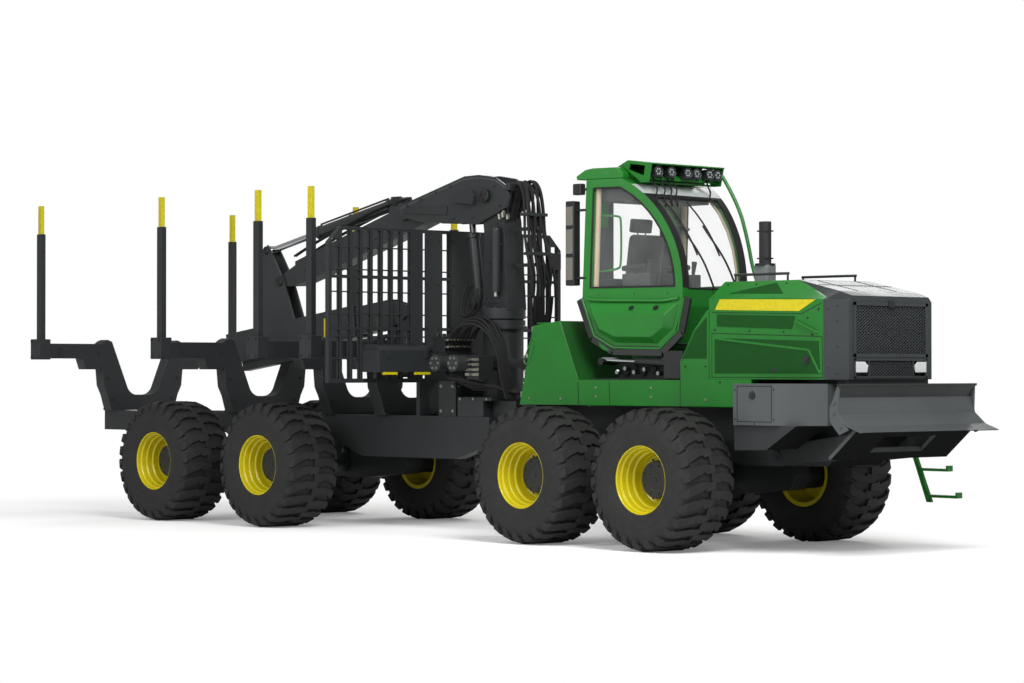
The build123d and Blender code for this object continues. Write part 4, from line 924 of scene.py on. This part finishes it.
# stations and heights round the tub, then of its bulge's foot and crown
TUB_LINE = (
    (-1.628, 2.570), (-1.478, 2.180), (-1.240, 2.050),
    (-0.662, 2.036), (-0.448, 2.225), (-0.372, 2.570),
)
TUB_FOOT = (
    (-1.545, 2.555), (-1.430, 2.225), (-1.205, 2.105),
    (-0.695, 2.093), (-0.505, 2.250), (-0.440, 2.535),
)
TUB_CROWN = (
    (-1.450, 2.430), (-1.365, 2.265), (-1.165, 2.175),
    (-0.735, 2.165), (-0.600, 2.265), (-0.555, 2.400),
)
TUB_MIDDLE = at(-1.0, 0, 2.45)
SILL = (
    (-1.55, 2.575, 0.010), (-1.36, 2.560, 0.016), (-0.62, 2.545, 0.016), (-0.44, 2.570, 0.008)
)
cab_green, cab_dark, cab_bright, tub_skirt, tub_bulge, tub_edge = meshes(6)
for hand in HANDS:
    add_tube(cab_green, [at(x, hand * (cab_half(x) + out), z) for x, z, out in SILL], 0.018)
    for x in (-0.985, -0.690):
        foot = at(x, hand * (cab_half(x) + 0.036), 2.470)
        add_rod(cab_dark, foot, foot + Vector((0, hand * 0.009, 0.011)), 0.030, sides=24)
    for x in (-1.42, -0.98, -0.58):
        add_bolt(cab_dark, at(x, hand * (cab_half(x) - 0.002), 2.62), (0.2, hand, 0), 0.014)
    skirt = [
        at(x, hand * (cab_half(x) - 0.030), z) + (at(x, 0, z) - TUB_MIDDLE) * 0.045
        for x, z in TUB_LINE
    ]
    for start, end in zip(skirt, skirt[1:]):
        strip(tub_skirt, start, end, 0.105, (0, hand, 0), 0.034)
    corners = [at(x, hand * (cab_half(x) - 0.004), z) for x, z in TUB_FOOT]
    corners += [at(x, hand * (cab_half(x) + 0.070), z) for x, z in TUB_CROWN]
    bmesh.ops.convex_hull(tub_bulge, input=[tub_bulge.verts.new(corner) for corner in corners])
    line = [
        at(x * 0.985 - 0.014, hand * (cab_half(x) + 0.004), z * 0.99 + 0.030) for x, z in TUB_LINE
    ]
    add_tube(tub_edge, line, 0.013, sides=10)
add_rod(cab_bright, at(-1.46, -0.58, 1.935), at(-0.98, -0.58, 1.915), 0.026)
add_rod(cab_dark, at(-0.98, -0.58, 1.915), at(-0.56, -0.58, 1.895), 0.042)
for x in (-1.47, -0.55):
    add_rod(cab_dark, at(x, -0.63, 1.915), at(x, -0.40, 1.915), 0.040)
for x, z in (
    (-1.30, 1.80), (-1.18, 1.84), (-1.05, 1.80), (-0.90, 1.83), (-0.70, 1.79), (-0.52, 1.82)
):
    add_rod(cab_bright, at(x, -0.46, z), at(x, -0.56, z), 0.024, sides=6)
    add_rod(cab_dark, at(x, -0.42, z), at(x + 0.04, -0.46, z), 0.034)
span(cab_dark, (-1.55, -0.20), (-0.70, -0.42), (1.60, 1.735))
span(cab_dark, (-1.40, -0.35), (-0.42, -0.30), (1.735, 1.92))
span(cab_dark, (-0.44, -0.17), (-0.74, -0.30), (1.735, 2.02))
piece("tub_rails", cab_green, GREEN)
piece("cab_underside", cab_dark, PLASTIC, bevel=0.008)
piece("levelling_rod", cab_bright, CHROME)
piece("tub_skirt", tub_skirt, PLASTIC, bevel=0.006)
piece("tub_bulge", tub_bulge, GREEN, bevel=0.014, smooth=24.0)
piece("tub_edge", tub_edge, GREEN)

roof_parts, exhaust_parts = meshes(2)
for top, radius in ((4.032, 0.008), (3.975, 0.022)):
    add_rod(roof_parts, at(-1.46, -0.30, 3.955), at(-1.46, -0.30, top), radius)
for y in (-0.34, -0.14, 0.10, 0.25, 0.41):
    span(roof_parts, (-0.93, -0.89), (y - 0.03, y + 0.03), (3.84, 3.94))
piece("roof_fittings", roof_parts, PLASTIC, bevel=0.003)
lamp_cables = [
    [
        (-0.90, y, 3.88),
        (-0.86, y - 0.02, 3.775),
        (-0.80, y - 0.03, 3.72),
        (arch(3.64) + 0.016, y - 0.05, 3.64),
        (arch(3.55) + 0.012, y - 0.10 if y < 0 else y + 0.02, 3.55),
    ]
    for y in (-0.42, -0.30, -0.20, -0.12, 0.40)
]
hoses("lamp_cable", lamp_cables, 0.009)
HOOP = (
    (-0.80, 0.545, 3.90), (-0.62, 0.60, 3.60), (-0.50, 0.62, 3.20),
    (-0.42, 0.62, 2.85), (-0.30, 0.62, 2.62),
)
hose("screen_guard_hoop", HOOP, 0.020, material=GREEN)
add_rod(exhaust_parts, at(0.395, -0.11, 2.895), at(0.395, -0.11, 2.915), 0.105, sides=28)
for z in (2.96, 3.24):
    span(exhaust_parts, (0.326, 0.464), (-0.164, -0.056), (z, z + 0.014))
piece("exhaust_clamps", exhaust_parts, EXHAUST, bevel=0.003, slot="exhaust_steel")


# Rear box and low panels, step boxes, blade: seams, lids, latches and bolts

PANEL_SIDE, STEP_SIDE, BLADE_SIDE = 0.8, 1.1, 1.060
BOX_RECESS = (
    (-2.325, 2.165), (-2.285, 2.130), (-2.385, 1.900),
    (-2.445, 1.885), (-2.470, 1.925), (-2.355, 2.150), (-2.325, 2.165),
)
PANEL_BOLTS = (
    (-1.366, 1.640), (-1.366, 1.545), (-0.563, 1.640), (-0.563, 1.545),
    (-1.90, 1.52), (-2.38, 1.52), (0.20, 1.52),
)
STEP_DOOR = ((0.905, 1.665), (1.355, 1.665), (1.355, 1.315), (0.905, 1.315), (0.905, 1.665))
STEP_BOLTS = ((0.875, 1.63), (0.875, 1.34), (1.385, 1.63), (1.385, 1.34), (1.13, 1.295))
box_rings, box_seams, box_bolts, box_top, corner_plate = meshes(5)
step_seams, step_parts, lip, blade_bolts = meshes(4)
for hand in HANDS:
    recess = [at(x, hand * PANEL_SIDE, z) for x, z in BOX_RECESS]
    for start, end in zip(recess, recess[1:]):
        add_rod(box_rings, start, end, 0.008, sides=8)
    for line in (
        ((-1.172, 1.716), (-1.160, 1.452)),
        ((-1.640, 1.700), (-1.628, 1.452)),
        ((-0.150, 1.716), (-0.150, 1.452)),
    ):
        side_line(box_seams, line, hand, PANEL_SIDE, 0.007, 0.0015)
    side_bolts(box_bolts, PANEL_BOLTS, hand, PANEL_SIDE, 0.018)
    for z in (1.56, 1.80, 2.04, 2.26):
        x = -2.540 + 0.210 * (z - 1.450) / 0.850
        span(box_bolts, (x - 0.02, x + 0.008), (hand * 0.72, hand * 0.79), (z - 0.03, z + 0.03))
    outline = ((-2.57, 1.10), (-2.30, 1.10), (-2.30, 1.45), (-2.52, 1.45))
    side_plate(corner_plate, outline, hand, 0.72, 0.05)
    bolts = ((-2.50, 1.18), (-2.50, 1.38), (-2.35, 1.18), (-2.35, 1.38))
    side_bolts(corner_plate, bolts, hand, 0.768, 0.020)
    span(corner_plate, (-2.56, -2.30), (hand * 0.38, hand * 0.74), (1.38, 1.45))
    side_line(step_seams, STEP_DOOR, hand, STEP_SIDE, 0.007, 0.002)
    for low, high, radius, sides in ((1.095, 1.112, 0.042, 6), (1.110, 1.118, 0.018, 12)):
        ends = [at(1.105, hand * y, 1.575) for y in (low, high)]
        add_rod(step_parts, *ends, radius, sides=sides)
    side_bolts(step_parts, STEP_BOLTS, hand, STEP_SIDE, 0.013)
    bolts = ((2.12, 1.50), (2.12, 1.40), (2.20, 1.27))
    side_bolts(blade_bolts, bolts, hand, BLADE_SIDE, 0.022)
span(box_top, (-2.31, -2.10), (-0.76, -0.20), (2.318, 2.334))
span(box_top, (-2.27, -2.00), (0.05, 0.62), (2.330, 2.345))
outline = ((2.150, 1.662), (2.192, 1.668), (2.196, 1.692), (2.152, 1.690))
side_plate(lip, outline, RIGHT, BLADE_SIDE, -2 * BLADE_SIDE)
piece("rear_box_recess", box_rings, GREEN)
piece("panel_seams", box_seams, SEAL)
piece("panel_bolts", box_bolts, ZINC)
piece("rear_box_lids", box_top, GREEN, bevel=0.004)
piece("hinge_corner_plates", corner_plate, FRAME_GREY, bevel=0.004)
piece("step_box_seams", step_seams, SEAL)
piece("step_box_latches", step_parts, PLASTIC, bevel=0.001)
piece("blade_lip", lip, PLASTIC, "blade", 0.003)
piece("blade_bolts", blade_bolts, BLADE_GREY, "blade", slot="grey_paint")


# Load gate: thin bars between the broad ones, doubled posts, a lamp box, the tool box's fittings

GATE = -4.6
gate, gate_lamp, tool_parts, tool_yellow = meshes(4)
for index in range(1, 47, 2):
    y = -1.725 + 0.075 * index
    top = 3.400 if abs(y) < 1.62 else 3.230
    add_rod(gate, at(GATE, y, 1.70), at(GATE, y, top), 0.009, sides=8)
for z in (1.95, 2.20, 2.45, 2.70, 2.95, 3.20):
    add_rod(gate, at(-4.580, -1.78, z), at(-4.580, 1.78, z), 0.008, sides=8)
for sides in ((-0.374, -0.128), (0.030, 0.500)):
    span(gate, (-4.575, -4.560), sides, (1.70, 3.42))
for y in (-0.34, -0.16, 0.07, 0.46):
    for z in (1.80, 2.30, 2.80, 3.30):
        add_bolt(gate, at(-4.560, y, z), (1, 0, 0), 0.024)
span(gate_lamp, (-4.63, -4.54), (1.60, 1.78), (3.02, 3.22))
outline = ((-4.57, 2.045), (-4.27, 2.045), (-4.29, 2.085), (-4.50, 2.110), (-4.57, 2.110))
side_plate(tool_parts, outline, RIGHT, 1.30, -0.82)
for y in (-1.16, -0.62):
    span(tool_parts, (-4.272, -4.258), (y - 0.03, y + 0.03), (1.96, 2.05))
for y in (-1.29, -0.49):
    for z in (1.83, 2.01):
        add_bolt(tool_parts, at(-4.27, y, z), (1, 0, 0), 0.018)
for sides in ((-1.25, -1.05), (-0.78, -0.56)):
    span(tool_yellow, (-4.30, -4.262), sides, (1.77, 1.80))
piece("gate_bars", gate, FRAME_GREY, "rear_chassis")
piece("gate_lamp_box", gate_lamp, PLASTIC, "rear_chassis", 0.010)
piece("tool_box_lid", tool_parts, FRAME_GREY, "rear_chassis", 0.004)
piece("tool_box_handles", tool_yellow, YELLOW, "rear_chassis", 0.004)


# Bunks: socket bolts, wear plates and guide rods

bunk_bolts, guide_rods = meshes(2)
for x in BUNKS:
    for hand in HANDS:
        sockets = [(x + shift, z) for shift in (-0.075, 0.075) for z in (1.985, 2.185)]
        side_bolts(bunk_bolts, sockets, hand, 1.620, 0.024)
        for y, z in ((0.70, 2.04), (1.30, 2.10), (1.30, 2.02), (0.56, 1.72), (0.47, 1.45)):
            for way in (1, -1):
                add_bolt(bunk_bolts, at(x + way * 0.085, hand * y, z), (way, 0, 0), 0.030)
        span(bunk_bolts, (x - 0.10, x + 0.10), (hand * 0.30, hand * 0.50), (1.300, 1.330))
for x in BUNKS[2:]:
    add_rod(guide_rods, at(x + 0.05, -0.56, 2.21), at(x + 0.05, -0.56, 2.43), 0.020)
piece("bunk_bolts", bunk_bolts, FRAME_GREY, "rear_chassis")
piece("guide_rods", guide_rods, STRIPE, "rear_chassis", 0.004)


# Crane base: round slewing cylinders, the valve bank, the tank unit's bolts and the hoses

CRANE = -3.650
SLEW_HEIGHT = 1.9
BASE_SIDE = 0.452
slew_parts, slew_bright, valves, valve_bright, base_lamp = meshes(5)
for x in (-3.800, -3.500):
    add_rod(slew_parts, at(x, -0.895, SLEW_HEIGHT), at(x, 0.895, SLEW_HEIGHT), 0.0865, sides=32)
    for y in (-0.90, -0.60, 0.60, 0.90):
        ends = [at(x, y + shift, SLEW_HEIGHT) for shift in (-0.012, 0.012)]
        add_rod(slew_parts, *ends, 0.094, sides=32)
    for hand in HANDS:
        bolt_ring(slew_bright, at(x, hand * 0.912, SLEW_HEIGHT), (0, hand, 0), 0.062, 6, 0.022)
add_turned(
    slew_parts,
    (
        (0.000, 0.235), (0.000, 0.275), (0.030, 0.275), (0.036, 0.250),
        (0.100, 0.250), (0.100, 0.235), (0.000, 0.235),
    ),
    at(CRANE, 0, 2.285),
    (0, 0, 1),
    40,
)
for hand in HANDS:
    bolts = [(x, z) for x in (-4.20, -4.00) for z in (1.36, 1.64)]
    side_bolts(slew_bright, bolts, hand, BASE_SIDE, 0.026)
    side_bolts(slew_bright, [(x, 1.50) for x in (-3.88, -3.66, -3.44)], hand, BASE_SIDE, 0.022)
for y in (-0.40, -0.20, 0.20, 0.40):
    for z in (1.36, 1.64):
        add_bolt(slew_bright, at(-3.96, y, z), (1, 0, 0), 0.026)
piece("slewing_cylinders", slew_parts, CRANE_GREY, "rear_chassis", 0.002)
piece("crane_base_bolts", slew_bright, ZINC, "rear_chassis")

VALVES = [-0.600 + 0.054 * index for index in range(8)]
span(valves, (-4.20, -3.92), (-0.62, -0.20), (1.995, 2.02))
for y in VALVES:
    span(valves, (-4.16, -3.96), (y - 0.021, y + 0.021), (2.02, 2.20))
    add_rod(valves, at(-4.10, y, 2.20), at(-4.10, y, 2.235), 0.020, sides=12)
    for rise in (0.06, 0.14):
        foot, neck = at(-3.955, y, 2.02 + rise), at(-3.925, y, 2.02 + rise)
        add_rod(valve_bright, foot, neck, 0.016, sides=6)
        add_rod(valve_bright, neck, neck + Vector((0.030, 0, 0.012)), 0.011, sides=10)
span(valves, (-3.46, -3.26), (-0.74, -0.52), (1.72, 1.98))
span(valves, (-3.98, -3.80), (-0.46, -0.30), (1.70, 2.00))
for index in range(4):
    z = 1.76 + 0.055 * index
    span(valve_bright, (-3.47, -3.25), (-0.752, -0.742), (z, z + 0.030))
    add_rod(valve_bright, at(-3.36, -0.75, z + 0.015), at(-3.36, -0.80, z + 0.015), 0.014, sides=6)
span(base_lamp, (-3.86, -3.80), (-0.66, -0.54), (1.72, 1.84))
add_rod(base_lamp, at(-3.83, -0.60, 1.66), at(-3.83, -0.45, 1.66), 0.020)
piece("valve_bank", valves, PLASTIC, "rear_chassis", 0.004)
piece("valve_fittings", valve_bright, ZINC, "rear_chassis")
piece("base_lamp", base_lamp, LAMP_BACK, "rear_chassis", 0.008)

valve_hoses = [
    [
        (-3.900, y, 2.172),
        (-3.800, y - 0.01, 2.20 + lift),
        (-3.560, y * 0.7 - 0.12, 2.26 + lift),
        (-3.360, y * 0.5 - 0.18, 2.18 + lift * 0.4),
        (-3.270, y * 0.4 - 0.20, 1.98),
        (-3.240, y * 0.4 - 0.20, 1.72),
        (-3.200, y * 0.35 - 0.16, 1.50),
    ]
    for y, lift in zip(VALVES, (0.10, 0.135, 0.17) * 3)
]
base_hoses = [
    [
        (-4.02, y - 0.10, 1.86),
        (-3.80, y - 0.36 + 0.02 * index, 1.74 - 0.03 * index),
        (-3.52, y - 0.32, 1.72 - 0.03 * index),
        (-3.30, y - 0.16, 1.66),
        (-3.16, y * 0.6, 1.56),
    ]
    for index, y in enumerate((-0.42, -0.35, -0.28, -0.21, -0.14))
]
# from the frame joint up to the rear box, held beside the steering pin
joint_hoses = [
    [
        (-2.50, y, 1.92 - drop),
        (-2.66, y * 0.9, 1.94 - drop),
        (-2.82, y * 0.6, 1.80),
        (-2.88, y * 0.4, 1.60),
        (-2.86, y * 0.3, 1.47),
    ]
    for y, drop in ((-0.30, 0.0), (-0.15, 0.05), (0.0, 0.0), (0.15, 0.05), (0.30, 0.0))
]
hoses("valve_hose", valve_hoses, 0.014, "rear_chassis")
hoses("base_hose", base_hoses, 0.015, "rear_chassis")
hoses("joint_hose", joint_hoses, 0.016)


# Crane: pin caps, cover box, pillar bolts, hoses and the cylinders' collars

BOOM_SIDE = 0.172
for body, x, z, y, radius in (
    ("crane_pillar", -3.750, 3.790, 0.200, 0.075),
    ("crane_pillar", -4.030, 2.570, 0.120, 0.055),
    ("boom", -4.180, 3.560, 0.091, 0.050),
    ("boom", -5.410, 3.800, 0.091, 0.050),
    ("jib", -7.590, 2.910, 0.091, 0.060),
    ("jib", -7.850, 3.300, 0.091, 0.050),
):
    caps = bmesh.new()
    profile = ((0.0, 0.0), (0.0, radius), (0.014, radius), (0.020, radius * 0.86), (0.020, 0.0))
    for hand in HANDS:
        out = (0, hand, 0)
        add_turned(caps, profile, at(x, hand * y, z), out, 28)
        bolt_ring(caps, at(x, hand * (y + 0.019), z), out, 0.6 * radius, 3, radius * 0.30, 0.25)
    piece(f"{body}_pin_cap_{round(-x * 100)}", caps, EXHAUST, body)

BOOM_BOX = ((-4.26, 3.735), (-3.93, 3.700), (-3.91, 3.80), (-3.95, 3.86), (-4.24, 3.84))
BOOM_PATCH = ((-5.16, 3.65), (-4.42, 3.60), (-4.40, 3.70), (-5.14, 3.72))
# A raised strip along the boom's upper edge on each side, in a lighter grey than the boom: a weld
# bead whose lighter grey is a painted highlight on the edge
BOOM_WELD_HIGHLIGHT = (
    (-3.42, 3.86), (-3.60, 3.96), (-3.88, 4.000), (-4.12, 3.995), (-5.24, 3.705)
)
BOOM_BOLTS = (
    (-4.35, 3.93), (-4.60, 3.87), (-3.62, 3.90), (-3.52, 3.68),
    (-4.86, 3.80), (-5.10, 3.74), (-3.96, 3.56), (-4.30, 3.56),
)
boom_plates, boom_weld_highlights = meshes(2)
for hand in HANDS:
    side_plate(boom_plates, BOOM_BOX, hand, BOOM_SIDE, 0.055)
    side_plate(boom_plates, BOOM_PATCH, hand, BOOM_SIDE, 0.012)
    side_bolts(boom_plates, BOOM_BOLTS, hand, BOOM_SIDE, 0.030)
    side_line(boom_weld_highlights, BOOM_WELD_HIGHLIGHT, hand, BOOM_SIDE, 0.012, 0.004)
    beam = [(x, 3.600 - (-5.50 - x) * 0.26 - 0.16) for x in (-5.75, -6.20, -6.65, -7.05)]
    side_bolts(boom_plates, beam, hand, 0.110, 0.028)
piece("boom_cover_boxes", boom_plates, FRAME_GREY, "boom", 0.004)
piece("boom_weld_painted_highlight", boom_weld_highlights, BLADE_GREY, "boom", 0.0015)

BUNDLE = (
    # stations and heights of the bundle's middle, from the pillar over and down to its clamp
    (-3.530, 3.500), (-3.470, 3.700), (-3.385, 3.880), (-3.265, 3.935), (-3.165, 3.830),
    (-3.130, 3.600), (-3.110, 3.330), (-3.050, 3.050), (-2.990, 2.830), (-3.020, 2.620),
)
# each hose waves about the middle of its bundle in its own phase
pillar_hoses = [
    [
        (
            x + 0.030 * math.sin(2.3 * index + 0.9 * step),
            (-0.100 + 0.0175 * index) * (1 + 0.10 * step)
            + 0.016 * math.cos(1.7 * index + 1.3 * step),
            z + 0.026 * math.cos(2.9 * index + 0.7 * step),
        )
        for step, (x, z) in enumerate(BUNDLE)
    ]
    for index in range(12)
]
frame_hoses = [
    [
        (-3.020 + 0.02 * math.sin(2.3 * index), side, 2.640),
        (-3.030, side * 0.9, 2.420 + 0.03 * math.sin(1.9 * index)),
        (-3.070 + 0.03 * math.cos(1.3 * index), side * 0.7, 2.150),
        (-3.080, side * 0.6, 1.850 + 0.04 * math.cos(2.1 * index)),
        (-3.110, side * 0.5, 1.570),
    ]
    for index, side in enumerate(-0.170 + 0.042 * index for index in range(9))
]
hoses("pillar_hose", pillar_hoses, 0.0165, "crane_pillar")
hoses("frame_hose", frame_hoses, 0.0165, "crane_pillar")

ACCUMULATOR = (-3.560, -0.200)
clamps, accumulator, accumulator_ends, pillar_parts = meshes(4)
for x, z, wide, high in (
    (-3.135, 3.560, 0.050, 0.018), (-3.070, 3.120, 0.050, 0.018), (-3.385, 3.880, 0.034, 0.040)
):
    span(clamps, (x - wide, x + wide), (-0.185, 0.155), (z - high, z + high))
span(clamps, (-3.46, -3.08), (-0.02, 0.02), (3.385, 3.425))
span(clamps, (-3.44, -3.02), (-0.02, 0.02), (2.98, 3.02))
piece("hose_clamps", clamps, CRANE_GREY, "crane_pillar", 0.004)
add_ball(accumulator, at(*ACCUMULATOR, 3.390), 0.052, 12, 24)
for low, high, radius in ((2.700, 3.390, 0.052), (2.846, 2.874, 0.058), (3.226, 3.254, 0.058)):
    add_rod(accumulator, at(*ACCUMULATOR, low), at(*ACCUMULATOR, high), radius, sides=28)
for z in (2.860, 3.240):
    span(accumulator, (-3.60, -3.52), (-0.19, -0.13), (z - 0.02, z + 0.02))
for z in (2.700, 3.400):
    ends = [at(*ACCUMULATOR, z + shift) for shift in (-0.05, 0.02)]
    add_rod(accumulator_ends, *ends, 0.026, sides=6)
for index in range(5):
    foot = at(-3.500 + 0.02 * (index % 2), -0.20 + 0.035 * index, 3.52 + 0.02 * (index % 3))
    add_rod(accumulator_ends, foot, foot + Vector((0.0, -0.01, 0.055)), 0.020, sides=6)
piece("pillar_accumulator", accumulator, CRANE_GREY, "crane_pillar")
piece("pillar_fittings", accumulator_ends, ZINC, "crane_pillar")

ring = ((0.000, 0.240), (0.000, 0.252), (0.118, 0.252), (0.122, 0.240), (0.000, 0.240))
add_turned(pillar_parts, ring, at(CRANE, 0, 2.400), (0, 0, 1), 40)
bolt_ring(pillar_parts, at(CRANE, 0, 2.520), (0, 0, 1), 0.225, 16, 0.024)
for hand in HANDS:
    outline = ((-3.80, 2.58), (-3.50, 2.58), (-3.56, 3.10), (-3.74, 3.10))
    side_plate(pillar_parts, outline, hand, 0.141, 0.010)
    bolts = ((-3.76, 2.64), (-3.54, 2.64), (-3.60, 3.04), (-3.71, 3.04))
    side_bolts(pillar_parts, bolts, hand, 0.150, 0.026)
piece("pillar_ring", pillar_parts, CRANE_GREY, "crane_pillar", 0.002)

for name, body, foot, eye, radius, places in (
    # rings round a cylinder's barrel, as distance from the foot, width and height, and a pipe
    (
        "lift_cylinder_collars", "lift_barrel", at(-4.030, 0, 2.570), at(-4.180, 0, 3.560), 0.070,
        ((0.088, 0.05, 0.006), (0.45, 0.03, 0.004), (0.770, 0.055, 0.012)),
    ),
    (
        "jib_cylinder_collars", "jib_barrel", at(-5.410, 0, 3.800), at(-7.850, 0, 3.300), 0.072,
        ((0.168, 0.06, 0.006), (0.90, 0.03, 0.004), (1.490, 0.060, 0.012)),
    ),
):
    collars = bmesh.new()
    along = (eye - foot).normalized()
    for from_foot, width, extra in places:
        start = foot + along * from_foot
        add_rod(collars, start, start + along * width, radius + extra, sides=32)
    beside = along.cross(Vector((0, 1, 0))).normalized() * (radius + 0.022)
    first, last = foot + along * (places[0][0] + 0.04), foot + along * (places[-1][0] + 0.01)
    pipe = [first, first - beside + along * 0.01, last - beside - along * 0.01, last]
    add_tube(collars, pipe, 0.012)
    piece(name, collars, CRANE_GREY, body, 0.002)

lift_loops = [
    [
        (-4.115, y - 0.10, 2.80),
        (-4.170, y - 0.14, 2.62),
        (-4.140, y - 0.17, 2.44),
        (-4.000, y - 0.18, 2.42),
        (-3.900, y - 0.17, 2.56),
        (-3.880, y - 0.15, 2.75),
    ]
    for y in (0.035, -0.035)
]
BOOM_RUN = ((-5.20, 3.825), (-5.55, 3.775), (-6.30, 3.560), (-7.00, 3.330), (-7.28, 3.215))
boom_hoses = [[(x, y, z) for x, z in BOOM_RUN] for y in (-0.104, -0.080, 0.080, 0.104)]
hoses("lift_loop", lift_loops, 0.014, "crane_pillar")
hoses("boom_hose", boom_hoses, 0.013, "boom")


# Second paints on the CAD's own pieces, by a face's centre and normal

def on_screen(centre, normal):
    """Whether a face of the cab is on its windscreen's arch."""
    return normal.x > 0.45 and centre.x > FOREMOST - 1.0


for node, material, chosen in (
    ("stakes", STRIPE, lambda centre, normal: centre.z > 3.60),
    # the nose's faces that point upwards in the much lighter grey
    ("nose", NOSE_UPPER_FACE_GREY, lambda centre, normal: normal.z > 0.85),
    ("nose", FRAME_GREY, lambda centre, normal: normal.z > 0.3 and abs(centre.y) > 0.45),
    # the blade's faces turned downwards and those behind station 2.05, and the step boxes' faces
    # below 1.27 m and turned downwards, take the darker frame grey: on the downward faces it is
    # painted shade
    ("blade", FRAME_GREY, lambda centre, normal: normal.z < -0.1 or centre.x < FOREMOST + 2.05),
    ("step_boxes", FRAME_GREY, lambda centre, normal: centre.z < 1.27 or normal.z < -0.2),
    # the faces turned to the floor on the blade, step boxes and front frame in near-black: painted
    # shade
    ("blade", UNDERSIDE_PAINTED_SHADE, lambda centre, normal: normal.z < -0.5),
    ("step_boxes", UNDERSIDE_PAINTED_SHADE, lambda centre, normal: normal.z < -0.5),
    ("front_frame", UNDERSIDE_PAINTED_SHADE, lambda centre, normal: normal.z < -0.5),
    # the top of the windscreen's arch on the opaque shell in pale grey: painted light in place of
    # the bright glass
    ("cab_shell", SCREEN_LIGHT_PAINT, lambda centre, normal: on_screen(centre, normal) and centre.z > 3.66),
    (
        "cab_shell",
        SEAL,
        lambda centre, normal: on_screen(centre, normal) and 2.68 < centre.z <= 3.66,
    ),
    ("exhaust_stack", EXHAUST_FOOT, lambda centre, normal: centre.z < 2.905),
    ("cab_base", FRAME_GREY, lambda centre, normal: centre.z < 1.92),
    ("rear_box", GREEN_DARK, lambda centre, normal: normal.x > 0.5),
    ("grapple", IRON, lambda centre, normal: abs(normal.y) < 0.2 and centre.z < 1.70),
):
    data = skins[node].data
    data.materials.append(material)
    for face in data.polygons:
        if chosen(face.center, face.normal):
            face.material_index = len(data.materials) - 1


# Camera, floor and light

camera_data = bpy.data.cameras.new("camera")
camera_data.lens = 99.43
camera_data.sensor_width = 36.0
camera_data.clip_end = 200.0
camera = show("camera", camera_data)
camera.location = at(19.720, -21.836, 1.829)
camera.rotation_euler = (math.radians(90 + 0.567), 0.0, math.radians(46.77))
bpy.context.scene.camera = camera

FLOOR_LIFT = 0.16
FADE_FROM, FADE_TO = 6.5, 11.0


def pale_floor():
    """A pale studio floor: it keeps soft shadows near the object and is white further off."""
    made, tree, shader, place = new_material(
        "pale_floor",
        {"Base Color": linear("#f4f4f4"), "Roughness": 0.9, "Specular IOR Level": 0.0},
    )
    eye = add_node(tree, "LightPath")["Is Camera Ray"]
    lift = add_node(tree, "MapRange", {"To Max": FLOOR_LIFT, "Value": eye})["Result"]
    glow = add_node(tree, "Emission", {"Strength": lift})[0]
    near = add_node(tree, "AddShader", {0: shader.outputs[0], 1: glow})[0]
    distance = add_node(tree, "VectorMath", {"operation": "LENGTH", 0: place})["Value"]
    fade = {"From Min": FADE_FROM, "From Max": FADE_TO, "interpolation_type": "SMOOTHSTEP"}
    far_off = add_node(tree, "MapRange", {**fade, "Value": distance})["Result"]
    share = compute(tree, "MULTIPLY", far_off, eye)
    white = add_node(tree, "Emission")[0]
    mixed = add_node(tree, "MixShader", {0: share, 1: near, 2: white})[0]
    tree.links.new(mixed, tree.nodes["Material Output"].inputs["Surface"])
    return made


floor_mesh = bmesh.new()
bmesh.ops.create_grid(floor_mesh, x_segments=1, y_segments=1, size=60.0)
floor_data = bpy.data.meshes.new("floor")
floor_mesh.to_mesh(floor_data)
floor_mesh.free()
floor = show("floor", floor_data)
floor_data.materials.append(pale_floor())

for name, place, target, size, power in (
    # soft boxes: where they stand, what they face, how wide and how strong they are
    ("key", (13.0, -6.0, 12.5), (0.5, 0.0, 1.2), 8.0, 2300.0),
    ("side", (1.0, -16.0, 9.0), (-0.5, 0.0, 1.2), 9.0, 1150.0),
    ("back", (-5.0, 13.0, 11.0), (0.0, 0.0, 1.5), 9.0, 900.0),
):
    data = bpy.data.lights.new(name, "AREA")
    data.shape = "DISK"
    data.size = size
    data.energy = power
    light = show(name, data)
    light.location = place
    light.rotation_euler = (Vector(target) - Vector(place)).to_track_quat("-Z", "Y").to_euler()

WORLD_LIGHT = 0.40
world = bpy.data.worlds.new("studio")
bpy.context.scene.world = world
world.use_nodes = True
sky = world.node_tree
background = sky.nodes["Background"]
rays = add_node(sky, "LightPath")
seen = compute(sky, "MAXIMUM", rays["Is Camera Ray"], rays["Is Transmission Ray"])
strength = add_node(sky, "MapRange", {"To Min": WORLD_LIGHT, "To Max": 1.0, "Value": seen})
sky.links.new(strength["Result"], background.inputs["Strength"])
background.inputs["Color"].default_value = grey(1.0)
bpy.context.scene.view_settings.view_transform = "Standard"
